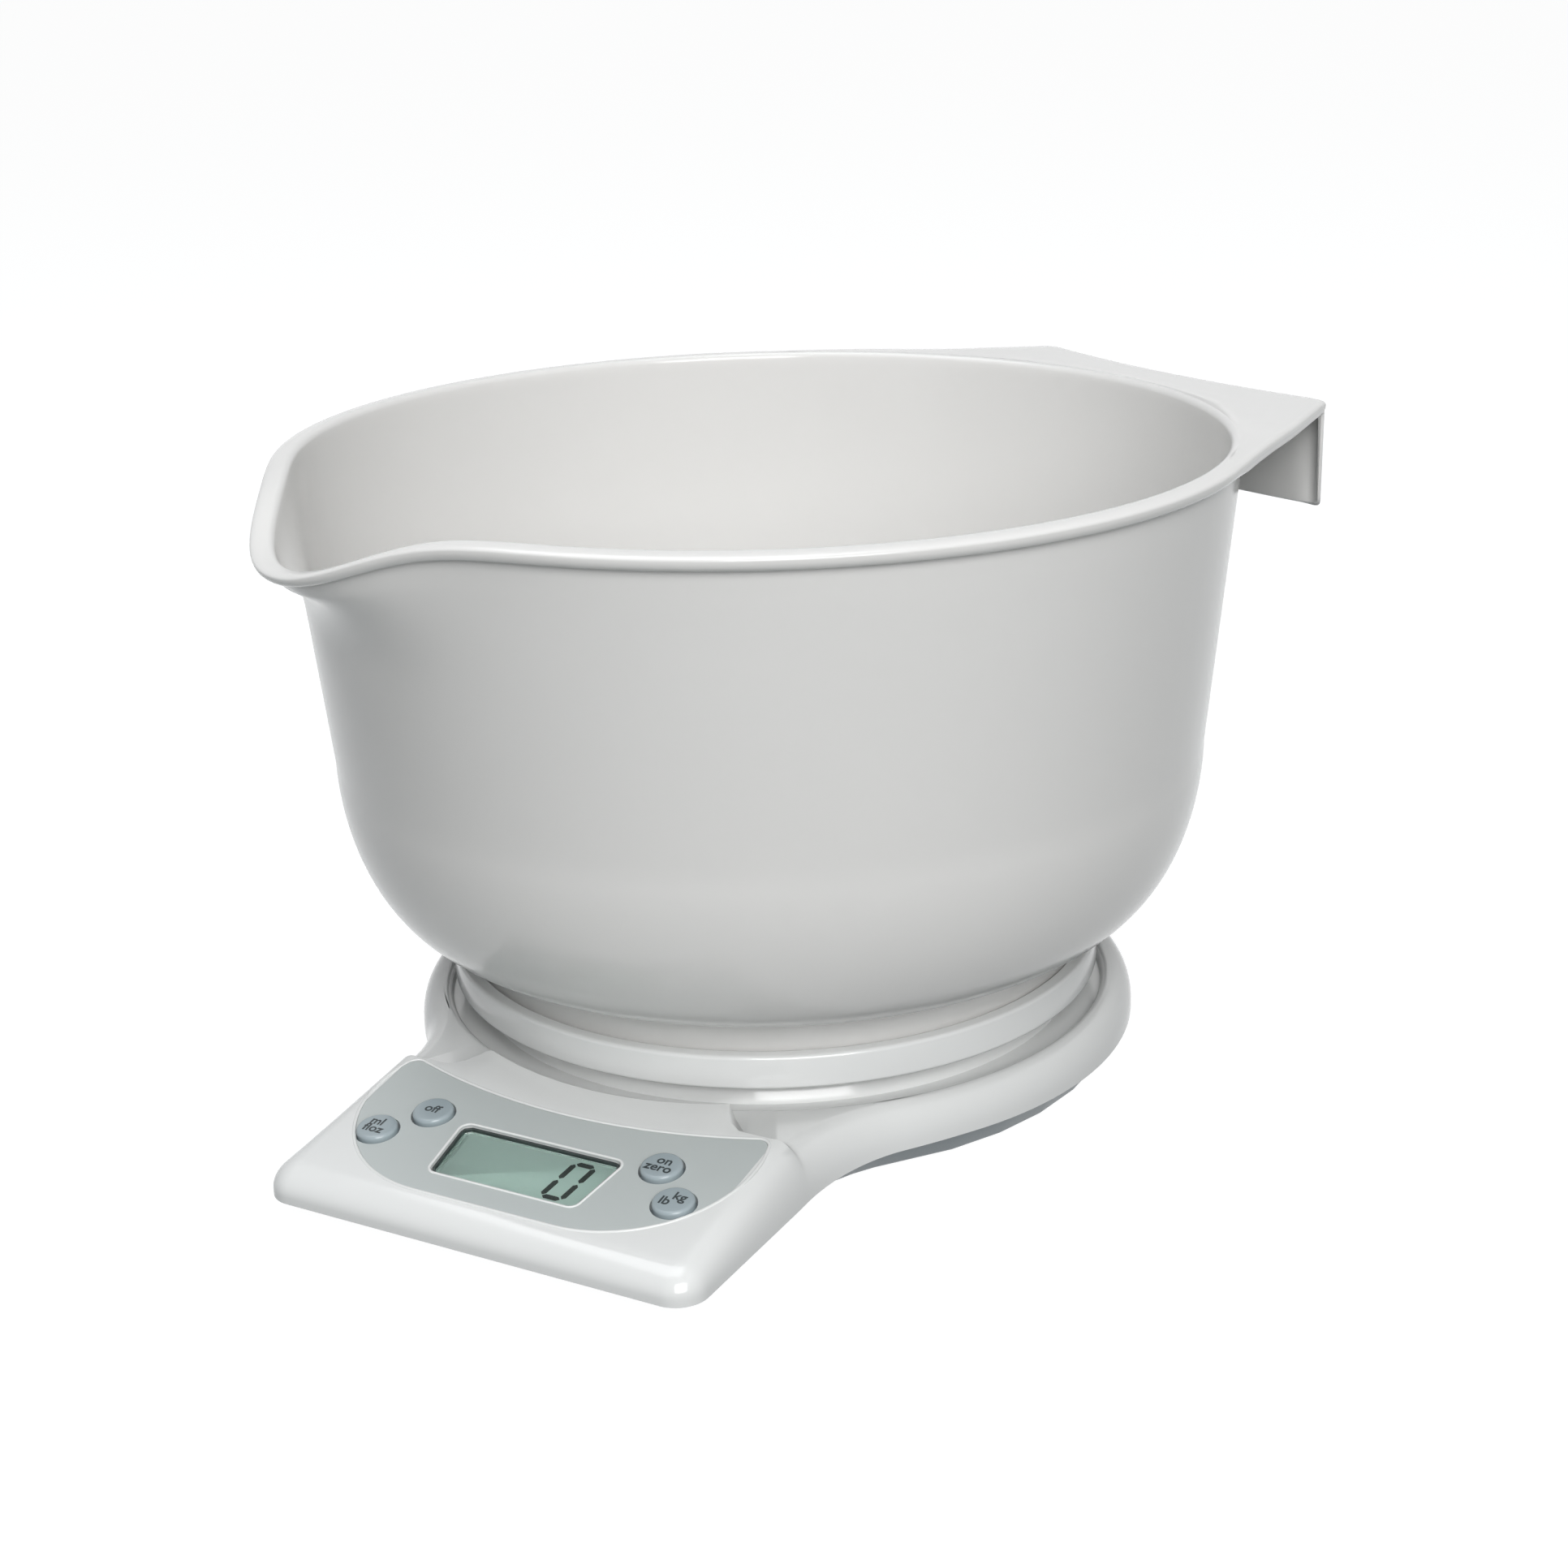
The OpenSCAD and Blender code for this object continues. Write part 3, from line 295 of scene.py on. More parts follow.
def mix(a, b, t):
    """A value part of the way from a to b."""
    return a + (b - a) * t


def sizes(name):
    """One group of settings of the scene."""
    return getattr(bpy.context.scene, name)


def on_panel():
    """The control panel's own frame: x across, y up the slope, z out of its face."""
    s = sizes("scale_panel")
    return Matrix.Translation((0, -s.middle, s.height)) @ Matrix.Rotation(s.slope, 4, "X")


def panel_points(node):
    """Vertices of a CAD node in the control panel's own frame."""
    place = on_panel().inverted()
    return [place @ v.co for v in frame["nodes"][node].data.vertices]


# ---------------------------------------------------------------- materials
def add_node(tree, kind, settings=None, **inputs):
    """Adds a node. Settings are its own options, and inputs are values or sockets to link."""
    made = tree.nodes.new(kind)
    for key, value in (settings or {}).items():
        setattr(made, key, value)
    for key, value in inputs.items():
        socket = made.inputs[key.replace("_", " ")]
        if isinstance(value, bpy.types.NodeSocket):
            tree.links.new(value, socket)
        else:
            socket.default_value = value
    return made


def material(name):
    """An empty node material: the material and its tree."""
    made = bpy.data.materials.new(name)
    made.use_nodes = True
    made.node_tree.nodes.clear()
    return made, made.node_tree


def finish_material(made, shader, bump=None):
    """Links the shader to the material's output, with a bump if one is given."""
    tree = made.node_tree
    if bump:
        tree.links.new(bump.outputs["Normal"], shader.inputs["Normal"])
    out = add_node(tree, "ShaderNodeOutputMaterial")
    tree.links.new(shader.outputs[0], out.inputs["Surface"])
    return made


def object_place(tree):
    """Places on the object itself, in metres."""
    return add_node(tree, "ShaderNodeTexCoord").outputs["Object"]


def noise(tree, place, size_mm, detail):
    """Noise from 0 to 1 whose patches are about size_mm across."""
    return add_node(tree, "ShaderNodeTexNoise", Vector=place, Scale=1 / (size_mm * MM),
                    Detail=detail).outputs["Fac"]


def between(tree, value, low, high):
    """A value from 0 to 1, spread out from low to high."""
    return add_node(tree, "ShaderNodeMapRange", Value=value, To_Min=low,
                    To_Max=high).outputs["Result"]


def moulded(name, base, rough, ior, cloud=0.012, grain_mm=1.6, grain=0.004, coat=0.0, depth=0):
    """A moulded plastic: base colour with a faint clouding, gloss that varies a little, and the
    slight unevenness of a tool's polish. cloud is the share by which the colour varies, grain_mm
    the width of the unevenness and grain its height in millimetres, and depth how many
    millimetres light goes into the plastic."""
    made, tree = material(name)
    place, cloud_mm, gloss_share = object_place(tree), 45, 0.15
    clouds = noise(tree, place, cloud_mm, 2.0)
    tint = add_node(tree, "ShaderNodeVectorMath", {"operation": "SCALE"},
                    Vector=list(base)[:3], Scale=between(tree, clouds, 1 - cloud, 1 + cloud))
    gloss = between(tree, clouds, rough * (1 - gloss_share), rough * (1 + gloss_share))
    bump = add_node(tree, "ShaderNodeBump", Height=noise(tree, place, grain_mm, 1.0),
                    Strength=1.0, Distance=grain * MM)
    shader = add_node(tree, "ShaderNodeBsdfPrincipled", Base_Color=tint.outputs["Vector"],
                      Roughness=gloss, IOR=ior, Coat_Weight=coat, Coat_Roughness=0.05,
                      Subsurface_Weight=0.5 if depth else 0, Subsurface_Scale=depth * MM,
                      Subsurface_Radius=(1, 1, 1))
    return finish_material(made, shader, bump)


def bowl_polypropylene():
    """Polypropylene moulded in a polished tool: warm white, a soft gloss, and light that
    passes some way into it."""
    return moulded("bowl polypropylene", sizes("scale_finish").bowl, 0.16, 1.49, grain_mm=6,
                   depth=2.0)


def polished_abs():
    """ABS moulded in a polished tool: neutral white, with a hard gloss."""
    return moulded("polished ABS", sizes("scale_finish").cover, 0.14, 1.54, grain_mm=5)


def grey_abs():
    """ABS of the lower cover, from a tool with a fine spark finish: satin grey."""
    return moulded("satin grey ABS", sizes("scale_finish").grey, 0.38, 1.54,
                   cloud=0.03, grain_mm=0.6, grain=0.02)


def printed_film():
    """Polycarbonate film printed grey on its back: flat, with a fine matt grain."""
    return moulded("printed film", sizes("scale_finish").label, 0.42, 1.58,
                   cloud=0.01, grain_mm=0.4)


def key_abs():
    """Satin ABS of the keys: cool grey, polished a little by fingers."""
    return moulded("key ABS", sizes("scale_finish").key, 0.24, 1.54,
                   cloud=0.02, grain_mm=0.8, grain=0.006)


def legend_ink():
    """Pad-printed ink of the legends: dark grey and a little rough."""
    return moulded("legend ink", sizes("scale_finish").print, 0.5, 1.5,
                   cloud=0.03, grain_mm=0.3, grain=0.002)


def dark_frame_and_painted_shade():
    """Dark grey ABS round the display: satin, almost black in its corners. Its dark colour is
    partly painted shade, standing in for the shade on the walls of the display's recess.
    """
    # The near-black colour is partly the frame's own and partly painted shade for the recess
    # walls.
    return moulded("dark frame ABS and painted shade", linear("#333C3B"), 0.35, 1.54,
                   cloud=0.03, grain_mm=0.5, grain=0.006)


def display_cell():
    """Liquid crystal cell over its reflector: an even green grey with a silky sheen."""
    return moulded("liquid crystal cell", sizes("scale_finish").display, 0.3, 1.52,
                   cloud=0.02, grain_mm=0.3, grain=0.001)


def display_segment():
    """A switched segment of the cell: nearly black, with the green showing through."""
    return moulded("display segment", linear("#1F2A27"), 0.3, 1.52,
                   cloud=0.04, grain_mm=0.3, grain=0.001)


def clear_acrylic():
    """Clear acrylic pane: lets the display show and mirrors a little light."""
    made, tree = material("clear acrylic")
    haze = noise(tree, object_place(tree), 9, 3.0)
    shader = add_node(tree, "ShaderNodeBsdfPrincipled", Base_Color=linear("#F4F8F6"),
                      Roughness=between(tree, haze, 0.01, 0.05), IOR=1.49,
                      Transmission_Weight=1.0)
    return finish_material(made, shader)


def foot_rubber():
    """Soft rubber of the feet and the contact strips: matt dark grey with dust in its grain."""
    return moulded("foot rubber", linear("#4B4E50"), 0.75, 1.52,
                   cloud=0.08, grain_mm=0.5, grain=0.03)


def metal(name, base, rough, along=(1, 1, 1), grain_mm=0.5, grain=0.004):
    """A bare or plated metal: its grain is drawn out along the axes with small factors."""
    made, tree = material(name)
    drawn = add_node(tree, "ShaderNodeMapping", Vector=object_place(tree), Scale=along)
    lines = noise(tree, drawn.outputs["Vector"], grain_mm, 3.0)
    bump = add_node(tree, "ShaderNodeBump", Height=lines, Distance=grain * MM)
    shader = add_node(tree, "ShaderNodeBsdfPrincipled", Base_Color=linear(base), Metallic=1.0,
                      Roughness=between(tree, lines, rough * 0.7, rough * 1.4))
    return finish_material(made, shader, bump)


def zinc_steel():
    """Zinc-plated steel of the screws: bright, slightly blue, barely grained."""
    return metal("zinc-plated steel", "#C3C6CA", 0.3)


def rolled_steel():
    """Rolled steel plate of the bracket, zinc plated: its rolling lines run along X."""
    return metal("rolled steel plate", "#B6B9BC", 0.35, along=(0.05, 1, 1), grain_mm=0.6)


def milled_aluminium():
    """Milled aluminium of the load cell: pale, with cutter lines along Y."""
    return metal("milled aluminium", "#D2D4D6", 0.32, along=(1, 0.05, 1), grain_mm=0.8,
                 grain=0.008)


def spring_steel():
    """Nickel-plated spring steel of the battery contacts: bright and smooth."""
    return metal("nickel-plated spring steel", "#CDCBC4", 0.22)


def coin_steel():
    """Stainless steel can of the coin cell: brushed across."""
    return metal("brushed stainless steel", "#D0D1D2", 0.25, along=(0.06, 1, 1), grain_mm=0.4)


def gauge_foil():
    """Constantan foil on a polyimide carrier: an amber film that shines through."""
    return moulded("polyimide foil", linear("#B9812F"), 0.3, 1.6,
                   cloud=0.06, grain_mm=0.5, coat=0.3)


def board_laminate():
    """Glass-epoxy laminate under green solder mask: the glass weave shows as a faint check."""
    made, tree = material("board laminate")
    square = 0.9 * MM
    weave = add_node(tree, "ShaderNodeTexChecker", Vector=object_place(tree),
                     Color1=linear("#2C6440"), Color2=linear("#2F6B45"), Scale=1 / square)
    bump = add_node(tree, "ShaderNodeBump", Height=weave.outputs["Fac"], Distance=0.01 * MM)
    shader = add_node(tree, "ShaderNodeBsdfPrincipled", Base_Color=weave.outputs["Color"],
                      Roughness=0.3, IOR=1.55)
    return finish_material(made, shader, bump)


def cable_vinyl():
    """Vinyl of the wires: smooth, soft sheen, with the ripple of the strands under it."""
    return moulded("cable vinyl", linear("#C9C9C6"), 0.4, 1.53,
                   cloud=0.05, grain_mm=0.7, grain=0.02)


MADE = {}


def finish(make):
    """The material that a function makes, made once."""
    if make.__name__ not in MADE:
        MADE[make.__name__] = make()
    return MADE[make.__name__]


SLOT_FINISHES = {
    "bowl_plastic": bowl_polypropylene, "cover_plastic": polished_abs, "grey_plastic": grey_abs,
    "label_film": printed_film, "key_plastic": key_abs, "dark_plastic": dark_frame_and_painted_shade,
    "clear_plastic": clear_acrylic, "display_glass": display_cell, "feet_rubber": foot_rubber,
    "cell_alloy": milled_aluminium, "plate_steel": rolled_steel, "screw_steel": zinc_steel,
    "contact_steel": spring_steel, "coin_steel": coin_steel, "board_laminate": board_laminate,
    "gauge_foil": gauge_foil, "cable_jacket": cable_vinyl}


# ---------------------------------------------------------------- bowl
class GripPlan:
    """Outline of the bowl's lip and grip from above: the lip's circle, a straight edge that
    leaves it at a tangent, a round corner, and the outer edge that bows in. Angles are
    measured from the middle of the grip, for one half of the bowl."""

    def __init__(self, s):
        self.circle = s.mouth_radius + s.lip_width
        self.corner = s.grip_corner
        tip = Vector((s.grip_half, s.grip_reach))
        self.leave = atan2(tip.x, tip.y) + acos(self.circle / tip.length)
        start = Vector((sin(self.leave), cos(self.leave)))
        self.edge_out = start
        self.bow = (s.grip_half ** 2 + s.grip_bow ** 2) / (2 * s.grip_bow)
        self.bow_y = s.grip_reach - s.grip_bow + self.bow
        # Centre of the corner: inside the straight edge and outside the bow's circle.
        depth, across = self.circle - self.corner, Vector((-start.y, start.x))
        hub = Vector((0, self.bow_y))
        off = hub.dot(start) - depth
        reach = sqrt((self.bow + self.corner) ** 2 - off ** 2)
        self.centre = start * depth + across * (hub.dot(across) - reach)
        if self.centre.x < 0:
            self.centre = start * depth + across * (hub.dot(across) + reach)
        self.edge_end = self.centre + start * self.corner
        self.bow_end = self.centre + (hub - self.centre).normalized() * self.corner
        self.edge_turn = atan2(self.edge_end.x, self.edge_end.y)
        self.bow_turn = atan2(self.bow_end.x, self.bow_end.y)

    def at(self, turn):
        """Point, outward normal, and distance past the start of the corner."""
        ray = Vector((sin(turn), cos(turn)))
        if turn >= self.leave:
            return ray * self.circle, ray, 0
        if turn >= self.edge_turn:
            return ray * (self.circle / ray.dot(self.edge_out)), self.edge_out, 0
        if turn >= self.bow_turn:
            b = ray.dot(self.centre)
            r = b + sqrt(max(0, b * b - self.centre.length_squared + self.corner ** 2))
            out = (ray * r - self.centre).normalized()
            bend = acos(min(1, out.dot(self.edge_out)))
            return ray * r, out, self.corner * bend
        b = ray.y * self.bow_y
        r = b - sqrt(b * b - self.bow_y ** 2 + self.bow ** 2)
        out = (Vector((0, self.bow_y)) - ray * r).normalized()
        past = (ray * r - self.bow_end).length
        return ray * r, out, self.corner * acos(min(1, out.dot(self.edge_out))) + past


# The lip in section: distances out from the mouth or the wall, and down from the rim.
LIP_CREST = 1.7 * MM  # out from the mouth to the ring where the top starts to fall
LIP_FALL = 1.2 * MM  # down to the lip's outermost ring
LIP_TURN = 2.8 * MM  # down to where the lip's outside has half turned under
GROOVE_WIDTH = 0.5 * MM  # out from the wall
GROOVE_TOP = 3.1 * MM  # down to the top of the groove between the wall and the lip
GROOVE_LIMIT = 3.3 * MM  # down to a level between the groove's top and the lip's underside


def bowl_section(bm, s, seat, rim):
    """Half section of the bowl, from the outside of its floor round the lip to the inside."""
    low, knee, under = seat + s.foot_height, seat + s.knee_height, rim - s.lip_depth
    body_low = low + 1 * MM
    side, lip = s.mouth_radius + s.wall, s.mouth_radius + s.lip_width
    foot_in = s.foot_radius - s.foot_wall
    groove, groove_top = side + GROOVE_WIDTH, rim - GROOVE_TOP
    turn_steps, side_steps, lip_steps = 26, 24, 18

    def turned(i, inset):
        """Step i of the round turn, from the floor up to the knee."""
        a = radians(90) * (1 - i / turn_steps)
        return (mix(s.base_radius, s.knee_radius, cos(a)) - inset,
                knee - (knee - body_low - inset) * sin(a), 0)

    corners = [(0, low, 0), (foot_in - 2 * MM, low, 0), (foot_in, low, 0.8 * MM),
               (foot_in, seat, 0.5 * MM), (s.foot_radius, seat, 0.6 * MM),
               (s.foot_radius, low, 0.8 * MM), (s.base_radius, low, 0.9 * MM)]
    corners += [turned(i, 0) for i in range(turn_steps + 1)]
    side_top = rim - 9 * MM
    for i in range(1, side_steps + 1):
        z = mix(knee, side_top, i / side_steps)
        corners.append((mix(s.knee_radius, side, (z - knee) / (under - knee)), z, 0))
    corners += [(side, groove_top, 0.2 * MM), (groove, groove_top, 0),
                (groove, under, 0.25 * MM), (lip, under, 2.3 * MM)]
    # The top of the lip is a quarter of an ellipse, highest near the mouth.
    wide = lip - s.mouth_radius - LIP_CREST
    for i in range(lip_steps + 1):
        a = radians(90) * i / lip_steps
        corners.append((lip - wide * (1 - cos(a)), rim - LIP_FALL * (1 - sin(a)), 0))
    corners += [(s.mouth_radius, rim, 1.5 * MM)]
    inner_top = rim - 3 * MM
    for i in range(side_steps + 1):
        z = mix(inner_top, knee, i / side_steps)
        corners.append((mix(s.mouth_radius, s.knee_radius - s.wall, (rim - z) / (rim - knee)),
                        z, 0))
    corners += [turned(turn_steps - i, s.wall) for i in range(1, turn_steps + 1)]
    floor_middle, inner_low = 40 * MM, body_low + s.wall
    corners += [(floor_middle, inner_low, 0), (0, inner_low, 0)]
    section(bm, corners)


def grip_shape(s, plan, rim, co):
    """Pulls the lip out to the outline of the grip and turns its outer edge down."""
    turn, radius = abs(atan2(co.x, co.y)), hypot(co.x, co.y)
    slack = 0.1 * MM
    crest, side = s.mouth_radius + LIP_CREST, s.mouth_radius + s.wall
    if turn >= plan.leave or co.z < rim - s.lip_depth - slack or radius < crest - slack:
        return co
    point, out, past = plan.at(turn)
    inward = plan.circle - radius
    below = co.z < rim - LIP_TURN
    in_groove = below and radius < side + GROOVE_WIDTH + slack and co.z > rim - GROOVE_LIMIT
    pull = ease((plan.leave - turn) / radians(6))
    if below:
        if radius < side + slack:
            return co
        # The wall of the grip starts thin at its end and thickens from the corner on.
        band, thickening = plan.circle - side - GROOVE_WIDTH, 9 * MM
        wall = mix(0.35 * s.grip_wall, s.grip_wall, ease(past / thickening))
        depth = inward * mix(1, wall / band, pull)
        place = point - out * depth
    else:
        # The edge keeps its rounding up to near, and spreads between near and far.
        near, far, spreading = 1.1 * MM, 2.1 * MM, 2.6
        depth = inward
        if inward > near:
            depth += (min(inward, far) - near) * spreading * pull
        if inward <= far:
            place = point - out * depth
        else:
            share = (inward - far) / (plan.circle - crest - far)
            ray = Vector((sin(turn), cos(turn)))
            place = (point - out * (depth - inward + far)).lerp(ray * crest, share)
    z = co.z
    outer_edge, roll_start = 1 * MM, 6 * MM
    if not below or inward < outer_edge:
        fall = min(s.grip_roll, max(0, s.grip_roll - depth))
        z -= (s.grip_roll - sqrt(s.grip_roll ** 2 - fall ** 2)) * ease(past / roll_start)
    if below and not in_groove and past > 0:
        full, end_round = s.grip_depth - s.lip_depth, 3 * MM
        rest = max(0, end_round - past)
        z -= full - end_round + sqrt(max(0, end_round ** 2 - rest * rest))
    spread = (point.length - plan.circle) / (s.grip_reach - plan.circle)
    shelf_start = 6 * MM
    z -= (s.shelf_drop * ease(spread * 1.5)
          * ease((place.length - s.mouth_radius) / shelf_start))
    flip = -1 if co.x < 0 else 1
    return Vector((flip * place.x, place.y, z))


def spout_shape(s, rim, co):
    """Swells the wall and the lip into the spout, and dips its tip."""
    radius, floor_middle = hypot(co.x, co.y), 50 * MM
    if radius < floor_middle:
        return co
    fullness = 2.2
    rise = ease((co.z - rim + s.spout_height) / s.spout_height)
    bump = exp(-(abs(atan2(co.x, -co.y)) / s.spout_turn) ** fullness)
    grown = 1 + s.spout_reach * rise * bump / radius
    return Vector((co.x * grown, co.y * grown, co.z - s.spout_dip * rise * rise * bump))


class KITCHEN_OT_bowl(Operator):
    """Builds the mixing bowl with its spout and its hooked grip"""

    bl_idname = "kitchen_scale.bowl"
    bl_label = "Bowl"

    def execute(self, context):
        s = sizes("scale_bowl")
        seat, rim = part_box("bowl")[0].z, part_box("bowl")[1].z
        plan = GripPlan(s)
        bm = bmesh.new()
        bowl_section(bm, s, seat, rim)
        # Half a turn from the spout to the grip, with more steps where the shape changes.
        spout_end, lead, corner_step = radians(44), radians(4), radians(0.1)
        leave, corner = pi - plan.leave, pi - plan.edge_turn
        stops = [(spout_end, 44), (leave - lead, 44), (leave, 4), (corner, 36),
                 (corner + corner_step, 1), (pi - plan.bow_turn, 14), (pi, 24)]
        geom, done = bm.verts[:] + bm.edges[:], 0
        for stop, steps in stops:
            geom = bmesh.ops.spin(bm, geom=geom, cent=(0, 0, 0), axis=(0, 0, 1),
                                  angle=stop - done, steps=steps)["geom_last"]
            done = stop
        bmesh.ops.remove_doubles(bm, verts=bm.verts, dist=WELD)
        bmesh.ops.mirror(bm, geom=bm.verts[:] + bm.edges[:] + bm.faces[:], axis="X",
                         merge_dist=WELD)
        for v in bm.verts:
            v.co = spout_shape(s, rim, grip_shape(s, plan, rim, v.co.copy()))
        bm.transform(Matrix.Rotation(s.handle_turn - radians(90), 4, "Z"))
        piece("mixing_bowl", bm, "bowl", finish(bowl_polypropylene), "bowl_plastic", "bowl",
              sharp=50)
        return {"FINISHED"}


# ---------------------------------------------------------------- platter
class KITCHEN_OT_platter(Operator):
    """Builds the weighing platter with its rim, bosses and ribs"""

    bl_idname = "kitchen_scale.platter"
    bl_label = "Platter"

    def execute(self, context):
        s = sizes("scale_platter")
        low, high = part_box("platter")
        radius, top = high.x, high.z
        seat_r, seat, skirt = radius - s.rim_width, top - s.seat_depth, top - s.rim_height
        under = seat - s.floor
        bm = bmesh.new()
        section(bm, [(0, under, 0), (seat_r, under, 0.5 * MM), (seat_r, skirt, 0.4 * MM),
                     (radius, skirt, 0.8 * MM), (radius, top, 0.9 * MM),
                     (seat_r, top, 0.7 * MM), (seat_r, seat, 0.6 * MM), (0, seat, 0)])
        spun(bm, 256)
        bosses, boss_radius, lap = 3, 3.6 * MM, 1 * MM
        for i in range(bosses):
            a = radians(90) + 2 * pi * i / bosses
            bmesh.ops.create_cone(
                bm, cap_ends=True, segments=40, radius1=boss_radius, radius2=boss_radius,
                depth=under - low.z + lap,
                matrix=Matrix.Translation((s.boss_circle * cos(a), s.boss_circle * sin(a),
                                           (under + low.z + lap) / 2)))
        ribs, rib_width, rib_height, sunk = 12, 1.4 * MM, 2.4 * MM, 0.2 * MM
        rib_in, rib_out = s.boss_circle + 8 * MM, seat_r - lap
        for i in range(ribs):
            rib = bmesh.ops.create_cube(bm, size=1)["verts"]
            bmesh.ops.scale(bm, verts=rib, vec=(rib_out - rib_in, rib_width, rib_height))
            bmesh.ops.translate(bm, verts=rib, vec=((rib_in + rib_out) / 2, 0, under - sunk))
            bmesh.ops.rotate(bm, verts=rib,
                             matrix=Matrix.Rotation(2 * pi * (i + 0.5) / ribs, 3, "Z"))
        piece("weighing_platter", bm, "platform", finish(polished_abs), "cover_plastic",
              "platter")
        return {"FINISHED"}


# ---------------------------------------------------------------- covers
class CoverPlan:
    """Plan of both covers: front edge, corner, side, hollow neck and round back, as points
    numbered from the middle of the front. Each point takes its own inset."""

    front, corner, side, neck, back = 14, 16, 12, 30, 60

    def __init__(self, s):
        self.s = s
        self.neck_x = s.front_half + s.neck_radius
        self.neck_y = -sqrt((s.round_radius + s.neck_radius) ** 2 - self.neck_x ** 2)
        self.neck_turn = asin(-self.neck_y / (s.round_radius + s.neck_radius))
        self.half = self.front + self.corner + self.side + self.neck + self.back
        self.crease_mid = self.front + self.corner - 1
        self.crease_end = self.front + self.corner + self.side
        self.gutter_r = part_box("platter")[1].x + 0.6 * MM
        # The step behind the panel starts just in front of the neck.
        self.crease_y = self.neck_y - 0.3 * MM
        self.panel = sizes("scale_panel")

    def half_point(self, i, d):
        """Point i of the right half, moved in by d."""
        s = self.s
        if i < self.front:
            return Vector(((s.front_half - s.front_corner) * i / self.front, -s.front_y + d))
        i -= self.front
        if i < self.corner:
            a = radians(-90 + 90 * i / (self.corner - 1))
            out = max(s.front_corner, d + 0.4 * MM)
            return Vector((s.front_half - out + (out - d) * cos(a),
                           -s.front_y + out + (out - d) * sin(a)))
        i -= self.corner
        if i < self.side:
            t = (i + 1) / (self.side + 1)
            return Vector((s.front_half - d, mix(-s.front_y + s.front_corner, self.neck_y, t)))
        i -= self.side
        if i < self.neck:
            a = pi - self.neck_turn * i / self.neck
            return Vector((self.neck_x + (s.neck_radius + d) * cos(a),
                           self.neck_y + (s.neck_radius + d) * sin(a)))
        a = mix(-self.neck_turn, pi / 2, (i - self.neck) / self.back)
        return Vector(((s.round_radius - d) * cos(a), (s.round_radius - d) * sin(a)))

    def row(self, place):
        """A closed row: place(i) gives point i of the right half, and the left mirrors it."""
        right = [Vector(place(i)) for i in range(self.half + 1)]
        left = [Vector((-p.x, p.y, p.z)) for p in right[-2:0:-1]]
        return right + left

    def panel_z(self, y):
        """Height of the panel's plane."""
        p = self.panel
        return p.height + (y + p.middle) * sin(p.slope) / cos(p.slope)

    def front_share(self, y):
        """0 in the round part and 1 at the control end, with a smooth change between."""
        change = 45 * MM
        return ease((-y - change) / change)

    def edge_z(self, y):
        """Height of the upper cover's edge."""
        return mix(self.s.edge_round, self.s.edge_front, self.front_share(y))

    def roll(self, y):
        """Width of the rolled edge."""
        return mix(self.s.roll_round, self.s.roll_front, self.front_share(y))

    def top_z(self, y):
        """Height of the cover's top: the panel in front of the crease, the crest behind it."""
        return mix(self.s.crest, self.panel_z(y),
                   ease((self.crease_y - y) / self.s.crease + 1))

    def crease_row(self, t, k):
        """Row t of the step from the panel down to the crest; k is the depth of the skin."""
        s = self.s
        step = t * s.crease
        # An arc follows the gutter behind the panel's middle, and straight steps go on from
        # its ends; their meeting is rounded off.
        arc_radius, arc_half = self.gutter_r + 5.2 * MM, radians(22.5)
        meeting, rounding = 36.5 * MM, Vector((-2.6, 2.4)) * MM
        end = s.front_half - self.roll(self.crease_y) - 1 * MM

        def place(i):
            fall = ease(t)
            if i < self.crease_mid:
                a = arc_half * i / self.crease_mid
                r = arc_radius + k - step
                p, fall = Vector((r * sin(a), -r * cos(a))), t ** 1.6
            elif i <= self.crease_end:
                share = (i - self.crease_mid) / (self.crease_end - self.crease_mid)
                p = Vector((mix(meeting + 0.7 * (step - k), end, share),
                            self.crease_y + step - k))
                if i == self.crease_mid:
                    p += rounding * (1 - t)
            else:
                y = self.half_point(i, 0).y
                p = self.half_point(i, self.roll(y) + 0.1 * MM + 0.2 * step)
            z = s.crest if i > self.crease_end else mix(self.panel_z(p.y), s.crest, fall)
            return p.x, p.y, z - k
        return self.row(place)

    def roll_row(self, a, k):
        """Row up the rolled edge, at angle a."""
        def place(i):
            y = self.half_point(i, 0).y
            p = self.half_point(i, k + (self.roll(y) - k) * (1 - cos(a)))
            return p.x, p.y, mix(self.edge_z(y) + 1.5 * MM, self.top_z(p.y) - k, sin(a))
        return self.row(place)

    def edge_row(self, k):
        """Row at the edge, inset by k."""
        return self.row(lambda i: (*self.half_point(i, k),
                                   self.edge_z(self.half_point(i, 0).y)))

    def round_row(self, radius, z):
        """Row on a circle, with its points in line with those of the crease."""
        towards = self.crease_row(1, 0)
        return [Vector((*(p.xy.normalized() * radius), z)) for p in towards]

    def gutter_row(self, t, k):
        """Row t of the way from the crest down into the gutter."""
        crest_off, hollow = 2.6 * MM, 2.3 * MM
        off = crest_off - hollow * sin(t * pi / 2) + 0.85 * k * t
        z = mix(self.s.crest, self.s.gutter, 1 - cos(t * pi / 2)) - k
        return self.round_row(self.gutter_r + off, z)


def arc(middle, radius, start, end, steps, first=0):
    """Points of an arc from one angle to another, numbered from first."""
    angles = [mix(start, end, i / steps) for i in range(first, steps + 1)]
    return [middle + Vector((cos(a), sin(a))) * radius for a in angles]


def corner_arc(a, b, c, radius, grow, steps=8):
    """Points of a round corner at b, on an outline that runs a, b, c with its inside left."""
    first, second = (b - a).normalized(), (c - b).normalized()
    out1, out2 = Vector((first.y, -first.x)), Vector((second.y, -second.x))
    centre = b - (out1 + out2) * radius / (1 + out1.dot(out2))
    start, bend = atan2(out1.y, out1.x), out1.angle_signed(out2)
    return arc(centre, radius + grow, start, start - bend, steps)


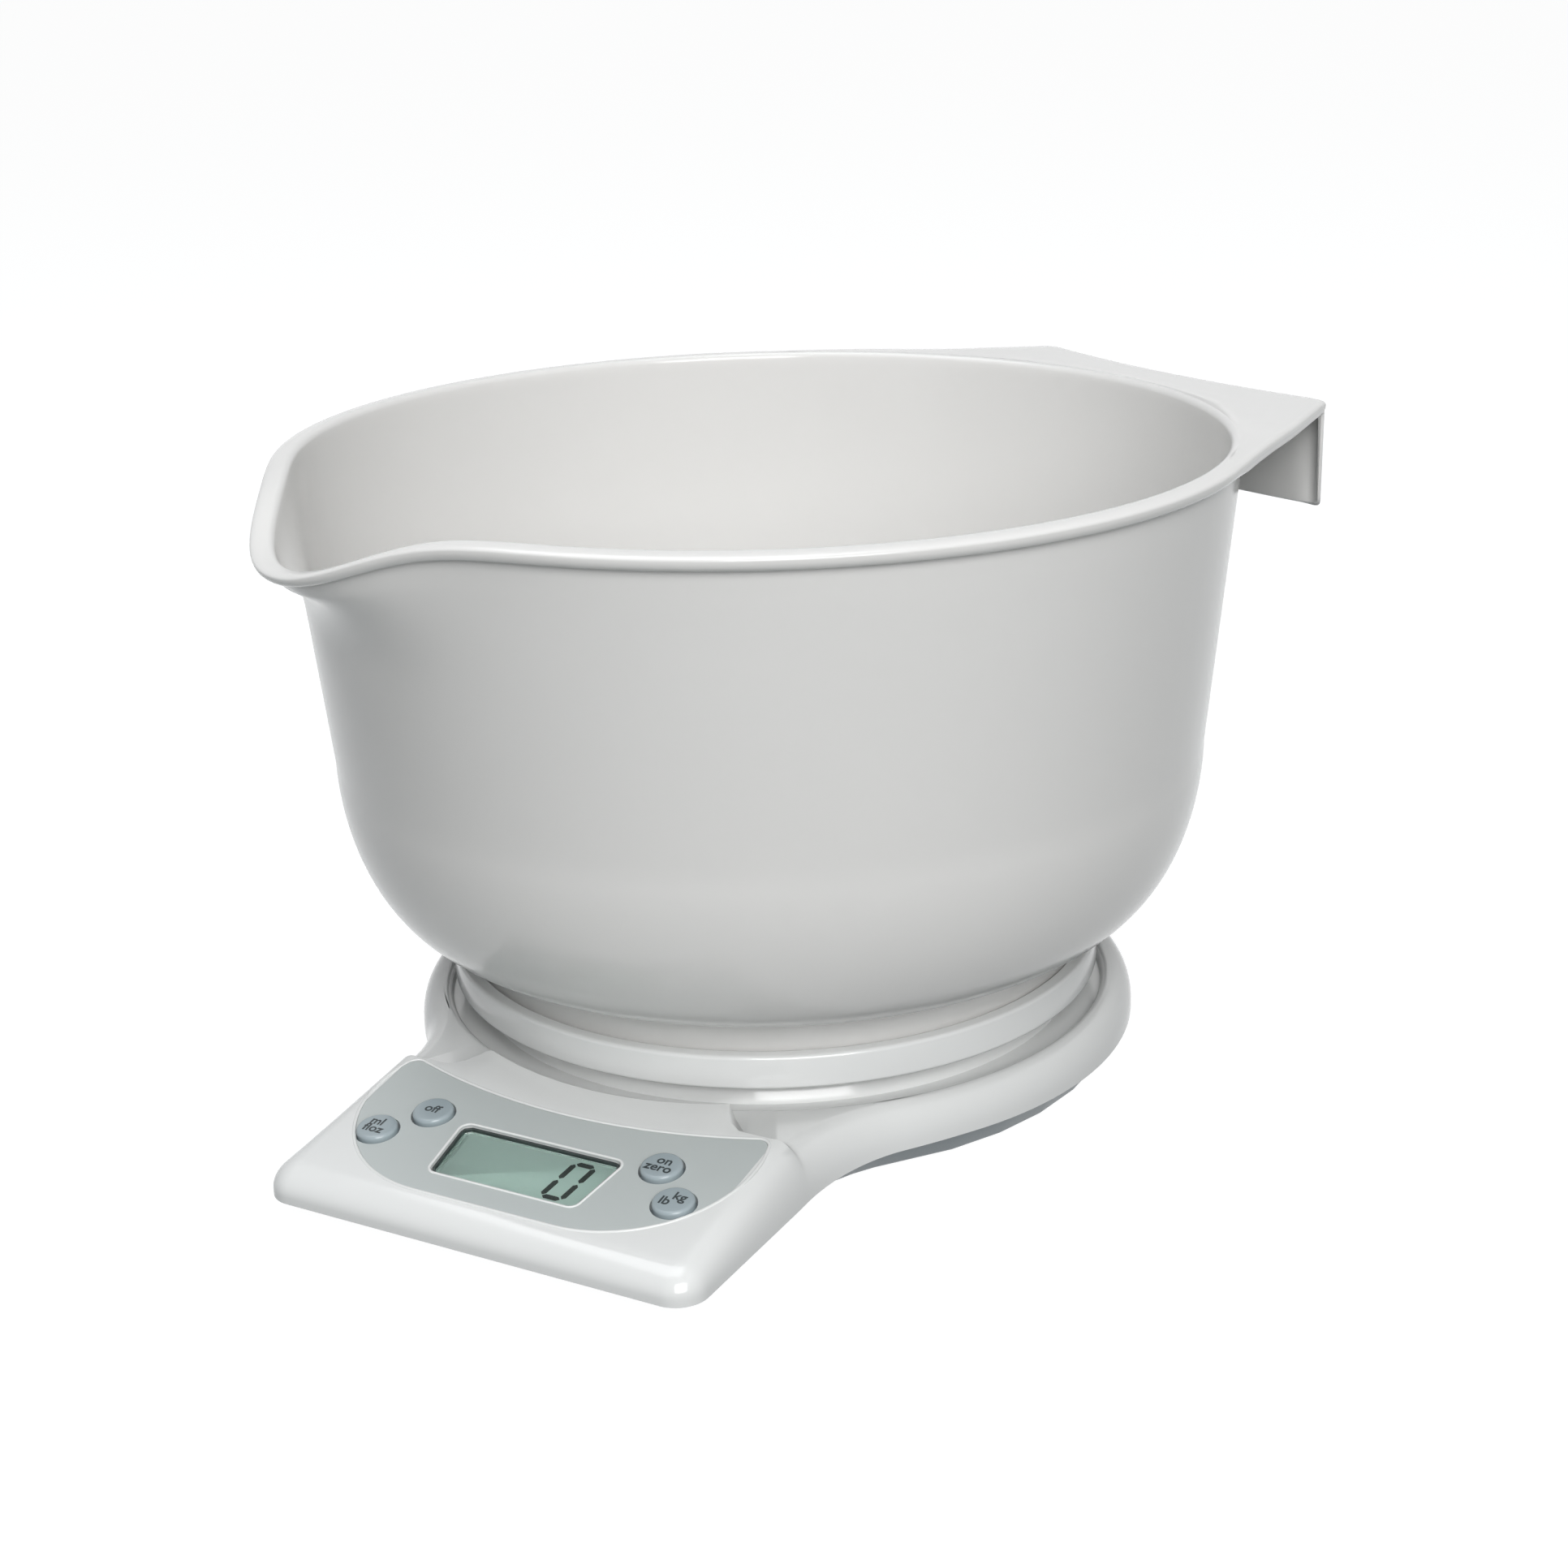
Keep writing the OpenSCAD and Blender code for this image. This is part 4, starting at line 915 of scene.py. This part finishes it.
def window_outline(grow=0.0):
    """Outline of the display opening: wider at its top, with round corners."""
    s = sizes("scale_panel")
    half, mid, rounding = s.window_height / 2, s.window_middle, 2 * MM
    corners = [Vector((-s.window_low, mid - half)), Vector((s.window_low, mid - half)),
               Vector((s.window_top, mid + half)), Vector((-s.window_top, mid + half))]
    points = []
    for i in range(4):
        points += corner_arc(corners[i - 1], corners[i], corners[(i + 1) % 4], rounding, grow)
    return points


def label_outline(grow=0.0):
    """Outline of the label: two wide round corners below, a hollow edge above."""
    # The front edge is straight up to bend_x, and the hollow edge is lowest at back.
    bend, bend_x, front = 30 * MM, 17.3 * MM, -14.2 * MM
    hollow, back, small = 141 * MM, 19.1 * MM, 2.5 * MM
    low = Vector((bend_x, front + bend))
    high = Vector((0, back + hollow))
    across = high - low
    gap = across.length
    inner, outer = bend - small, hollow + small
    along = (gap ** 2 + inner ** 2 - outer ** 2) / (2 * gap)
    off = sqrt(inner ** 2 - along ** 2)
    unit = across.normalized()
    tip = low + unit * along + Vector((unit.y, -unit.x)) * off
    turn_out = atan2((tip - low).y, (tip - low).x)
    turn_in = atan2((high - tip).y, (high - tip).x)
    edge_steps, bend_steps, tip_steps, hollow_steps = 8, 28, 8, 24
    points = [Vector((bend_x * i / edge_steps, front - grow)) for i in range(edge_steps)]
    points += arc(low, bend + grow, -pi / 2, turn_out, bend_steps)
    points += arc(tip, small + grow, turn_out, turn_in, tip_steps, 1)
    points += arc(high, hollow - grow, turn_in - pi, -pi / 2, hollow_steps, 1)
    return points + [Vector((-p.x, p.y)) for p in points[-2:0:-1]]


def key_places():
    """Middles of the keys on the panel, taken square to it, by the names of their nodes."""
    places = {}
    for name in LEGENDS:
        spots = panel_points(name)
        places[name] = Vector([(min(s[i] for s in spots) + max(s[i] for s in spots)) / 2
                               for i in (0, 1)])
    return places


def circle(middle, radius, steps=48):
    """Points of a circle."""
    return arc(middle, radius, 0, 2 * pi, steps)[:-1]


def openings(window_gap=0.0):
    """Outlines of the display opening, grown by a gap, and of the four key holes."""
    p = sizes("scale_panel")
    return [window_outline(window_gap)] + [circle(middle, p.key_radius + p.key_hole)
                                           for middle in key_places().values()]


def lifted(points, z):
    """Points given on the panel, at height z over its face, in the part's own frame."""
    place = on_panel()
    return [place @ Vector((p.x, p.y, z)) for p in points]


def thicken(bm, depth):
    """Gives the flat faces in bm a thickness, downwards and square to the panel."""
    grown = bmesh.ops.extrude_face_region(bm, geom=bm.faces[:])["geom"]
    down = on_panel().to_3x3() @ Vector((0, 0, -depth))
    bmesh.ops.translate(bm, verts=[v for v in grown if isinstance(v, bmesh.types.BMVert)],
                        vec=down)


def bead(bm, outline_at, width, height):
    """A half-round bead along an outline of the panel, with its root sunk in."""
    root, steps = -0.2 * MM, 8
    rows = [lifted(outline_at(-width / 2), root)]
    for i in range(steps + 1):
        a = pi * i / steps
        rows.append(lifted(outline_at(-width / 2 * cos(a)), height * sin(a)))
    rows.append(lifted(outline_at(width / 2), root))
    rows.append(rows[0])
    loft(bm, rows)


class KITCHEN_OT_upper_cover(Operator):
    """Builds the upper cover: rolled edge, crest, gutter and the openings of the panel"""

    bl_idname = "kitchen_scale.upper_cover"
    bl_label = "Upper cover"

    def execute(self, context):
        s, p = sizes("scale_cover"), sizes("scale_panel")
        plan = CoverPlan(s)
        # The raised middle stands clear of the inside of the platter's rim.
        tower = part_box("platter")[1].x - sizes("scale_platter").rim_width - 4 * MM
        foot, top_edge, top_round = 1.4 * MM, 0.8 * MM, 1 * MM
        roll_steps, row_steps = 12, 8
        angles = [radians(90) * i / roll_steps for i in range(roll_steps + 1)]
        steps = [i / row_steps for i in range(row_steps + 1)]

        def skin(k):
            """Rows of one skin, from the edge to the tower."""
            return ([plan.edge_row(k)] + [plan.roll_row(a, k) for a in angles]
                    + [plan.crease_row(t, k) for t in steps]
                    + [plan.gutter_row(t, k) for t in steps])

        outer, inner = skin(0), skin(s.wall)
        middle = [plan.round_row(tower + foot, s.gutter),
                  plan.round_row(tower, s.tower - top_edge),
                  plan.round_row(tower - top_round, s.tower),
                  plan.round_row(s.well_radius, s.tower),
                  plan.round_row(s.well_radius, s.tower - s.wall),
                  plan.round_row(tower - top_round, s.tower - s.wall),
                  plan.round_row(tower + foot - s.wall, s.gutter - s.wall)]
        bm = bmesh.new()
        rings = loft(bm, outer + middle + inner[::-1] + outer[:1])
        last = len(outer) * 2 + len(middle) - 1
        # The panel is opened on both skins, between the roll and the crease.
        count, roll, crease = len(rings[0]), len(angles), len(angles) + 1
        front = list(range(-plan.crease_end, plan.crease_end + 1))
        borders = []
        for a, b in ((roll, crease), (last - roll, last - crease)):
            faces = {f for i in front[:-1] for f in rings[a][i].link_faces
                     if set(f.verts) == {rings[a][i], rings[a][(i + 1) % count],
                                         rings[b][i], rings[b][(i + 1) % count]}}
            bmesh.ops.delete(bm, geom=list(faces), context="FACES_ONLY")
            borders.append([rings[a][i] for i in front] + [rings[b][i] for i in front[::-1]])
        label = outline(bm, lifted(label_outline(), 0))
        fill(bm, borders[0], label)
        label = next_ring(bm, label, lifted(label_outline(), -p.label))
        shapes = openings()
        holes = [outline(bm, lifted(shape, -p.label)) for shape in shapes]
        fill(bm, label, *holes)
        inside = -s.wall * cos(p.slope)
        holes = [next_ring(bm, hole, lifted(shape, inside))
                 for hole, shape in zip(holes, shapes)]
        fill(bm, borders[1], *holes)
        bead(bm, lambda d: label_outline(p.bead / 2 + d), p.bead, 0.22 * MM)
        window_bead = 0.6 * MM
        bead(bm, lambda d: window_outline(window_bead / 2 + d), window_bead, 0.16 * MM)
        piece("upper_cover", bm, "base", finish(polished_abs), "cover_plastic", "top_cover")
        return {"FINISHED"}


class KITCHEN_OT_lower_cover(Operator):
    """Finishes a merged copy of the lower cover, so that its rounded faces shade smoothly"""

    bl_idname = "kitchen_scale.lower_cover"
    bl_label = "Lower cover"

    def execute(self, context):
        bm = bmesh.new()
        bm.from_mesh(frame["nodes"]["bottom_cover"].data)
        bmesh.ops.remove_doubles(bm, verts=bm.verts, dist=WELD)
        bmesh.ops.dissolve_limit(bm, angle_limit=radians(1), verts=bm.verts, edges=bm.edges)
        piece("lower_cover", bm, "base", finish(grey_abs), "grey_plastic", "bottom_cover")
        return {"FINISHED"}


# ---------------------------------------------------------------- control end
class KITCHEN_OT_label(Operator):
    """Builds the label with its openings"""

    bl_idname = "kitchen_scale.label"
    bl_label = "Label"

    def execute(self, context):
        p = sizes("scale_panel")
        gap = 0.05 * MM
        bm = bmesh.new()
        fill(bm, *[outline(bm, lifted(shape, -gap))
                   for shape in [label_outline(-gap)] + openings(gap)])
        thicken(bm, p.label - gap)
        piece("panel_label", bm, "base", finish(printed_film), "label_film", "control_label")
        return {"FINISHED"}


# Words on each key, and their places from its middle in millimetres.
LEGENDS = {
    "key_off": [("off", 0, 0)],
    "key_on_zero": [("on", 0.3, 1.2), ("zero", 0, -1.2)],
    "key_volume": [("ml", -0.5, 1.3), ("floz", 0, -1.2)],
    "key_weight": [("kg", 1.1, 1.1), ("lb", -1.4, -1)]}


def lettering(bm, words, size, middle, z):
    """Sets words in the built-in typeface, as a thin mesh on the panel's plane."""
    curve = bpy.data.curves.new("words", "FONT")
    curve.body, curve.size, curve.extrude = words, size, 0.02 * MM
    curve.offset = 0.02 * size
    curve.align_x, curve.align_y = "CENTER", "CENTER"
    curve.resolution_u = 6
    holder = placed("words", curve)
    bpy.context.view_layer.update()
    mesh = bpy.data.meshes.new_from_object(
        holder.evaluated_get(bpy.context.evaluated_depsgraph_get()))
    mesh.transform(on_panel() @ Matrix.Translation((middle.x, middle.y, z)))
    bm.from_mesh(mesh)
    bpy.data.objects.remove(holder)
    bpy.data.curves.remove(curve)
    bpy.data.meshes.remove(mesh)


class KITCHEN_OT_keys(Operator):
    """Builds the four keys and their legends"""

    bl_idname = "kitchen_scale.keys"
    bl_label = "Keys"

    def execute(self, context):
        p = sizes("scale_panel")
        bodies = {name: next(b for b, names in frame["record"]["behaviour"]["bodies"].items()
                             if name in names) for name in LEGENDS}
        stem, lip, dome = 1.4 * MM, 0.7 * MM, 0.12 * MM
        # The flange lies just under the cover and keeps the key in.
        flange = -sizes("scale_cover").wall - 0.2 * MM
        for name, middle in key_places().items():
            bm = bmesh.new()
            r, top = p.key_radius, p.key_proud
            # The stem ends where the solid key's stem does, inside its switch.
            low = min(spot.z for spot in panel_points(name))
            section(bm, [(0, low, 0), (stem, low, 0), (stem, flange - lip, 0),
                         (r + lip, flange - lip, 0), (r + lip, flange, 0),
                         (r, flange, 0.15 * MM),
                         (r, top - dome, 0.75 * MM), (r * 0.6, top - 0.03 * MM, 0),
                         (r * 0.3, top, 0), (0, top, 0)])
            spun(bm, 96)
            bm.transform(on_panel() @ Matrix.Translation((*middle, 0)))
            piece("cap_" + name, bm, bodies[name], finish(key_abs), "key_plastic", name)
            bm = bmesh.new()
            for words, x, y in LEGENDS[name]:
                lettering(bm, words, p.legend, middle + Vector((x, y)) * MM, top)
            piece("legend_" + name[4:], bm, bodies[name], finish(legend_ink), "dark_plastic")
        return {"FINISHED"}


def segment(bm, start, end, width, z):
    """A bar of the digit, pointed at both ends."""
    along = (end - start).normalized()
    off = Vector((-along.y, along.x)) * width / 2
    cut = along * width / 2
    points = [start, start + cut + off, end - cut + off, end, end - cut - off,
              start + cut - off]
    bmesh.ops.contextual_create(bm, geom=outline(bm, lifted(points, z)))


class KITCHEN_OT_digit(Operator):
    """Draws the digit 0 on the display"""

    bl_idname = "kitchen_scale.digit"
    bl_label = "Digit"

    def execute(self, context):
        p = sizes("scale_panel")
        glass = max(spot.z for spot in panel_points("display_glass"))
        above, thick, lean = 0.03 * MM, 0.02 * MM, 0.1
        tall, wide, bar, gap = p.digit, 0.41 * p.digit, 0.115 * p.digit, 0.02 * p.digit
        foot = Vector((p.digit_x, p.digit_y))
        bm = bmesh.new()

        def at(x, y):
            return foot + Vector((x * wide + y * tall * lean, y * tall))

        bars = [((0, 0), (1, 0)), ((0, 1), (1, 1)), ((0, 0), (0, 0.5)), ((0, 0.5), (0, 1)),
                ((1, 0), (1, 0.5)), ((1, 0.5), (1, 1))]
        for a, b in bars:
            start, end = at(*a), at(*b)
            inset = (end - start).normalized() * gap
            segment(bm, start + inset, end - inset, bar, glass + above)
        thicken(bm, thick)
        piece("display_digit", bm, "base", finish(display_segment), "display_glass")
        return {"FINISHED"}


class KITCHEN_OT_inner_parts(Operator):
    """Finishes the pieces that keep their CAD shape"""

    bl_idname = "kitchen_scale.inner_parts"
    bl_label = "Other pieces"

    def execute(self, context):
        for node in frame["nodes"].values():
            for slot in node.material_slots:
                slot.material = finish(SLOT_FINISHES[slot.material.name.split(".")[0]])
        return {"FINISHED"}


# ---------------------------------------------------------------- stage
def ray_share(tree, *rays):
    """1 for the kinds of ray that are named, and 0 for all others."""
    path = add_node(tree, "ShaderNodeLightPath")
    share = path.outputs[rays[0]]
    for ray in rays[1:]:
        most = add_node(tree, "ShaderNodeMath", {"operation": "MAXIMUM"})
        tree.links.new(share, most.inputs[0])
        tree.links.new(path.outputs[ray], most.inputs[1])
        share = most.outputs[0]
    return share


def either(tree, share, first, second):
    """The first shader where share is 0, and the second where it is 1."""
    both = add_node(tree, "ShaderNodeMixShader", Fac=share)
    tree.links.new(first.outputs[0], both.inputs[1])
    tree.links.new(second.outputs[0], both.inputs[2])
    return both


def stage_floor():
    """Painted studio floor: white to camera and mirror rays, and it still takes the object's
    shadow."""
    made, tree = material("studio floor paint")
    paint = add_node(tree, "ShaderNodeBsdfDiffuse", Color=linear("#5E6466"))
    glow = add_node(tree, "ShaderNodeEmission", Color=linear("#FFFFFF"), Strength=0.97)
    lit = add_node(tree, "ShaderNodeAddShader")
    tree.links.new(paint.outputs[0], lit.inputs[0])
    tree.links.new(glow.outputs[0], lit.inputs[1])
    seen = ray_share(tree, "Is Camera Ray", "Is Glossy Ray")
    return finish_material(made, either(tree, seen, paint, lit))


def studio_world():
    """Even light from all round, and a white background for camera, glass and mirror rays."""
    world = bpy.data.worlds.new("studio")
    bpy.context.scene.world = world
    world.use_nodes = True
    tree = world.node_tree
    tree.nodes.clear()
    ambient = add_node(tree, "ShaderNodeBackground", Color=linear("#C4DCE6"), Strength=0.04)
    white = add_node(tree, "ShaderNodeBackground", Color=linear("#FFFFFF"), Strength=1.0)
    seen = ray_share(tree, "Is Camera Ray", "Is Transmission Ray", "Is Glossy Ray")
    out = add_node(tree, "ShaderNodeOutputWorld")
    tree.links.new(either(tree, seen, ambient, white).outputs[0], out.inputs["Surface"])


def direction(azimuth, elevation):
    """The way from the object out, in degrees round from its front and up from the table."""
    a, e = radians(azimuth), radians(elevation)
    return Vector((sin(a) * cos(e), -cos(a) * cos(e), sin(e)))


def soft_light(name, azimuth, elevation, distance, size, power, tint):
    """A square soft box that points at the object's middle."""
    lamp = bpy.data.lights.new(name, "AREA")
    lamp.shape, lamp.size, lamp.energy, lamp.color = "SQUARE", size, power, linear(tint)[:3]
    made = placed(name, lamp)
    middle, back = Vector((0, 0, 70 * MM)), direction(azimuth, elevation)
    made.location = middle + back * distance
    made.rotation_euler = back.to_track_quat("Z", "Y").to_euler()


class KITCHEN_OT_stage(Operator):
    """Sets up the floor, the lights and the camera"""

    bl_idname = "kitchen_scale.stage"
    bl_label = "Stage"

    def execute(self, context):
        bm = bmesh.new()
        bmesh.ops.create_grid(bm, x_segments=1, y_segments=1, size=20)
        mesh = bpy.data.meshes.new("floor")
        bm.to_mesh(mesh)
        bm.free()
        mesh.materials.append(stage_floor())
        floor = placed("floor", mesh)
        studio_world()
        soft_light("key light", azimuth=38, elevation=30, distance=1.5, size=0.9, power=19.5,
                   tint="#FFFFFF")
        soft_light("top light", azimuth=-75, elevation=78, distance=1.4, size=1.1, power=10.5,
                   tint="#FAFCFF")
        camera = placed("camera", bpy.data.cameras.new("camera"))
        # The camera stands to the front and right, a little above, and leans to one side.
        back, roll = direction(29.17, 19.23), radians(1.64)
        aim, distance_mm = Vector((0, 0, 67.8 * MM)), 601.2
        camera.location = aim + back * distance_mm * MM
        look = back.to_track_quat("Z", "Y").to_matrix().to_4x4()
        camera.rotation_euler = (look @ Matrix.Rotation(-roll, 4, "Z")).to_euler()
        camera.data.lens = 57.7
        camera.data.shift_x, camera.data.shift_y = 0.0085, -0.01115
        camera.data.clip_start = 0.05
        context.scene.camera = camera
        context.scene.view_settings.view_transform = "Standard"
        return {"FINISHED"}


# ---------------------------------------------------------------- add-on
OPERATORS = [KITCHEN_OT_stage, KITCHEN_OT_inner_parts, KITCHEN_OT_bowl, KITCHEN_OT_platter,
             KITCHEN_OT_upper_cover, KITCHEN_OT_lower_cover, KITCHEN_OT_label, KITCHEN_OT_keys,
             KITCHEN_OT_digit]


class KITCHEN_PT_scale(Panel):
    """Lists the settings and the pieces"""

    bl_idname = "KITCHEN_PT_scale"
    bl_label = "Kitchen scale"
    bl_space_type = "VIEW_3D"
    bl_region_type = "UI"
    bl_category = "Scale"

    def draw(self, context):
        for name, group in SETTINGS.items():
            box = self.layout.box()
            box.label(text=group.__doc__)
            for key in group.__annotations__:
                box.prop(getattr(context.scene, name), key)
        for operator in OPERATORS:
            self.layout.operator(operator.bl_idname)


def register():
    """Registers the settings, the operators and the panel."""
    for group in list(SETTINGS.values()) + OPERATORS + [KITCHEN_PT_scale]:
        bpy.utils.register_class(group)
    for name, group in SETTINGS.items():
        setattr(bpy.types.Scene, name, PointerProperty(type=group))


def unregister():
    """Takes them away again."""
    for name in SETTINGS:
        delattr(bpy.types.Scene, name)
    for group in [KITCHEN_PT_scale] + OPERATORS[::-1] + list(SETTINGS.values())[::-1]:
        bpy.utils.unregister_class(group)


def main():
    register()
    for operator in OPERATORS:
        group, name = operator.bl_idname.split(".")
        getattr(getattr(bpy.ops, group), name)()


if __name__ == "__main__":
    main()
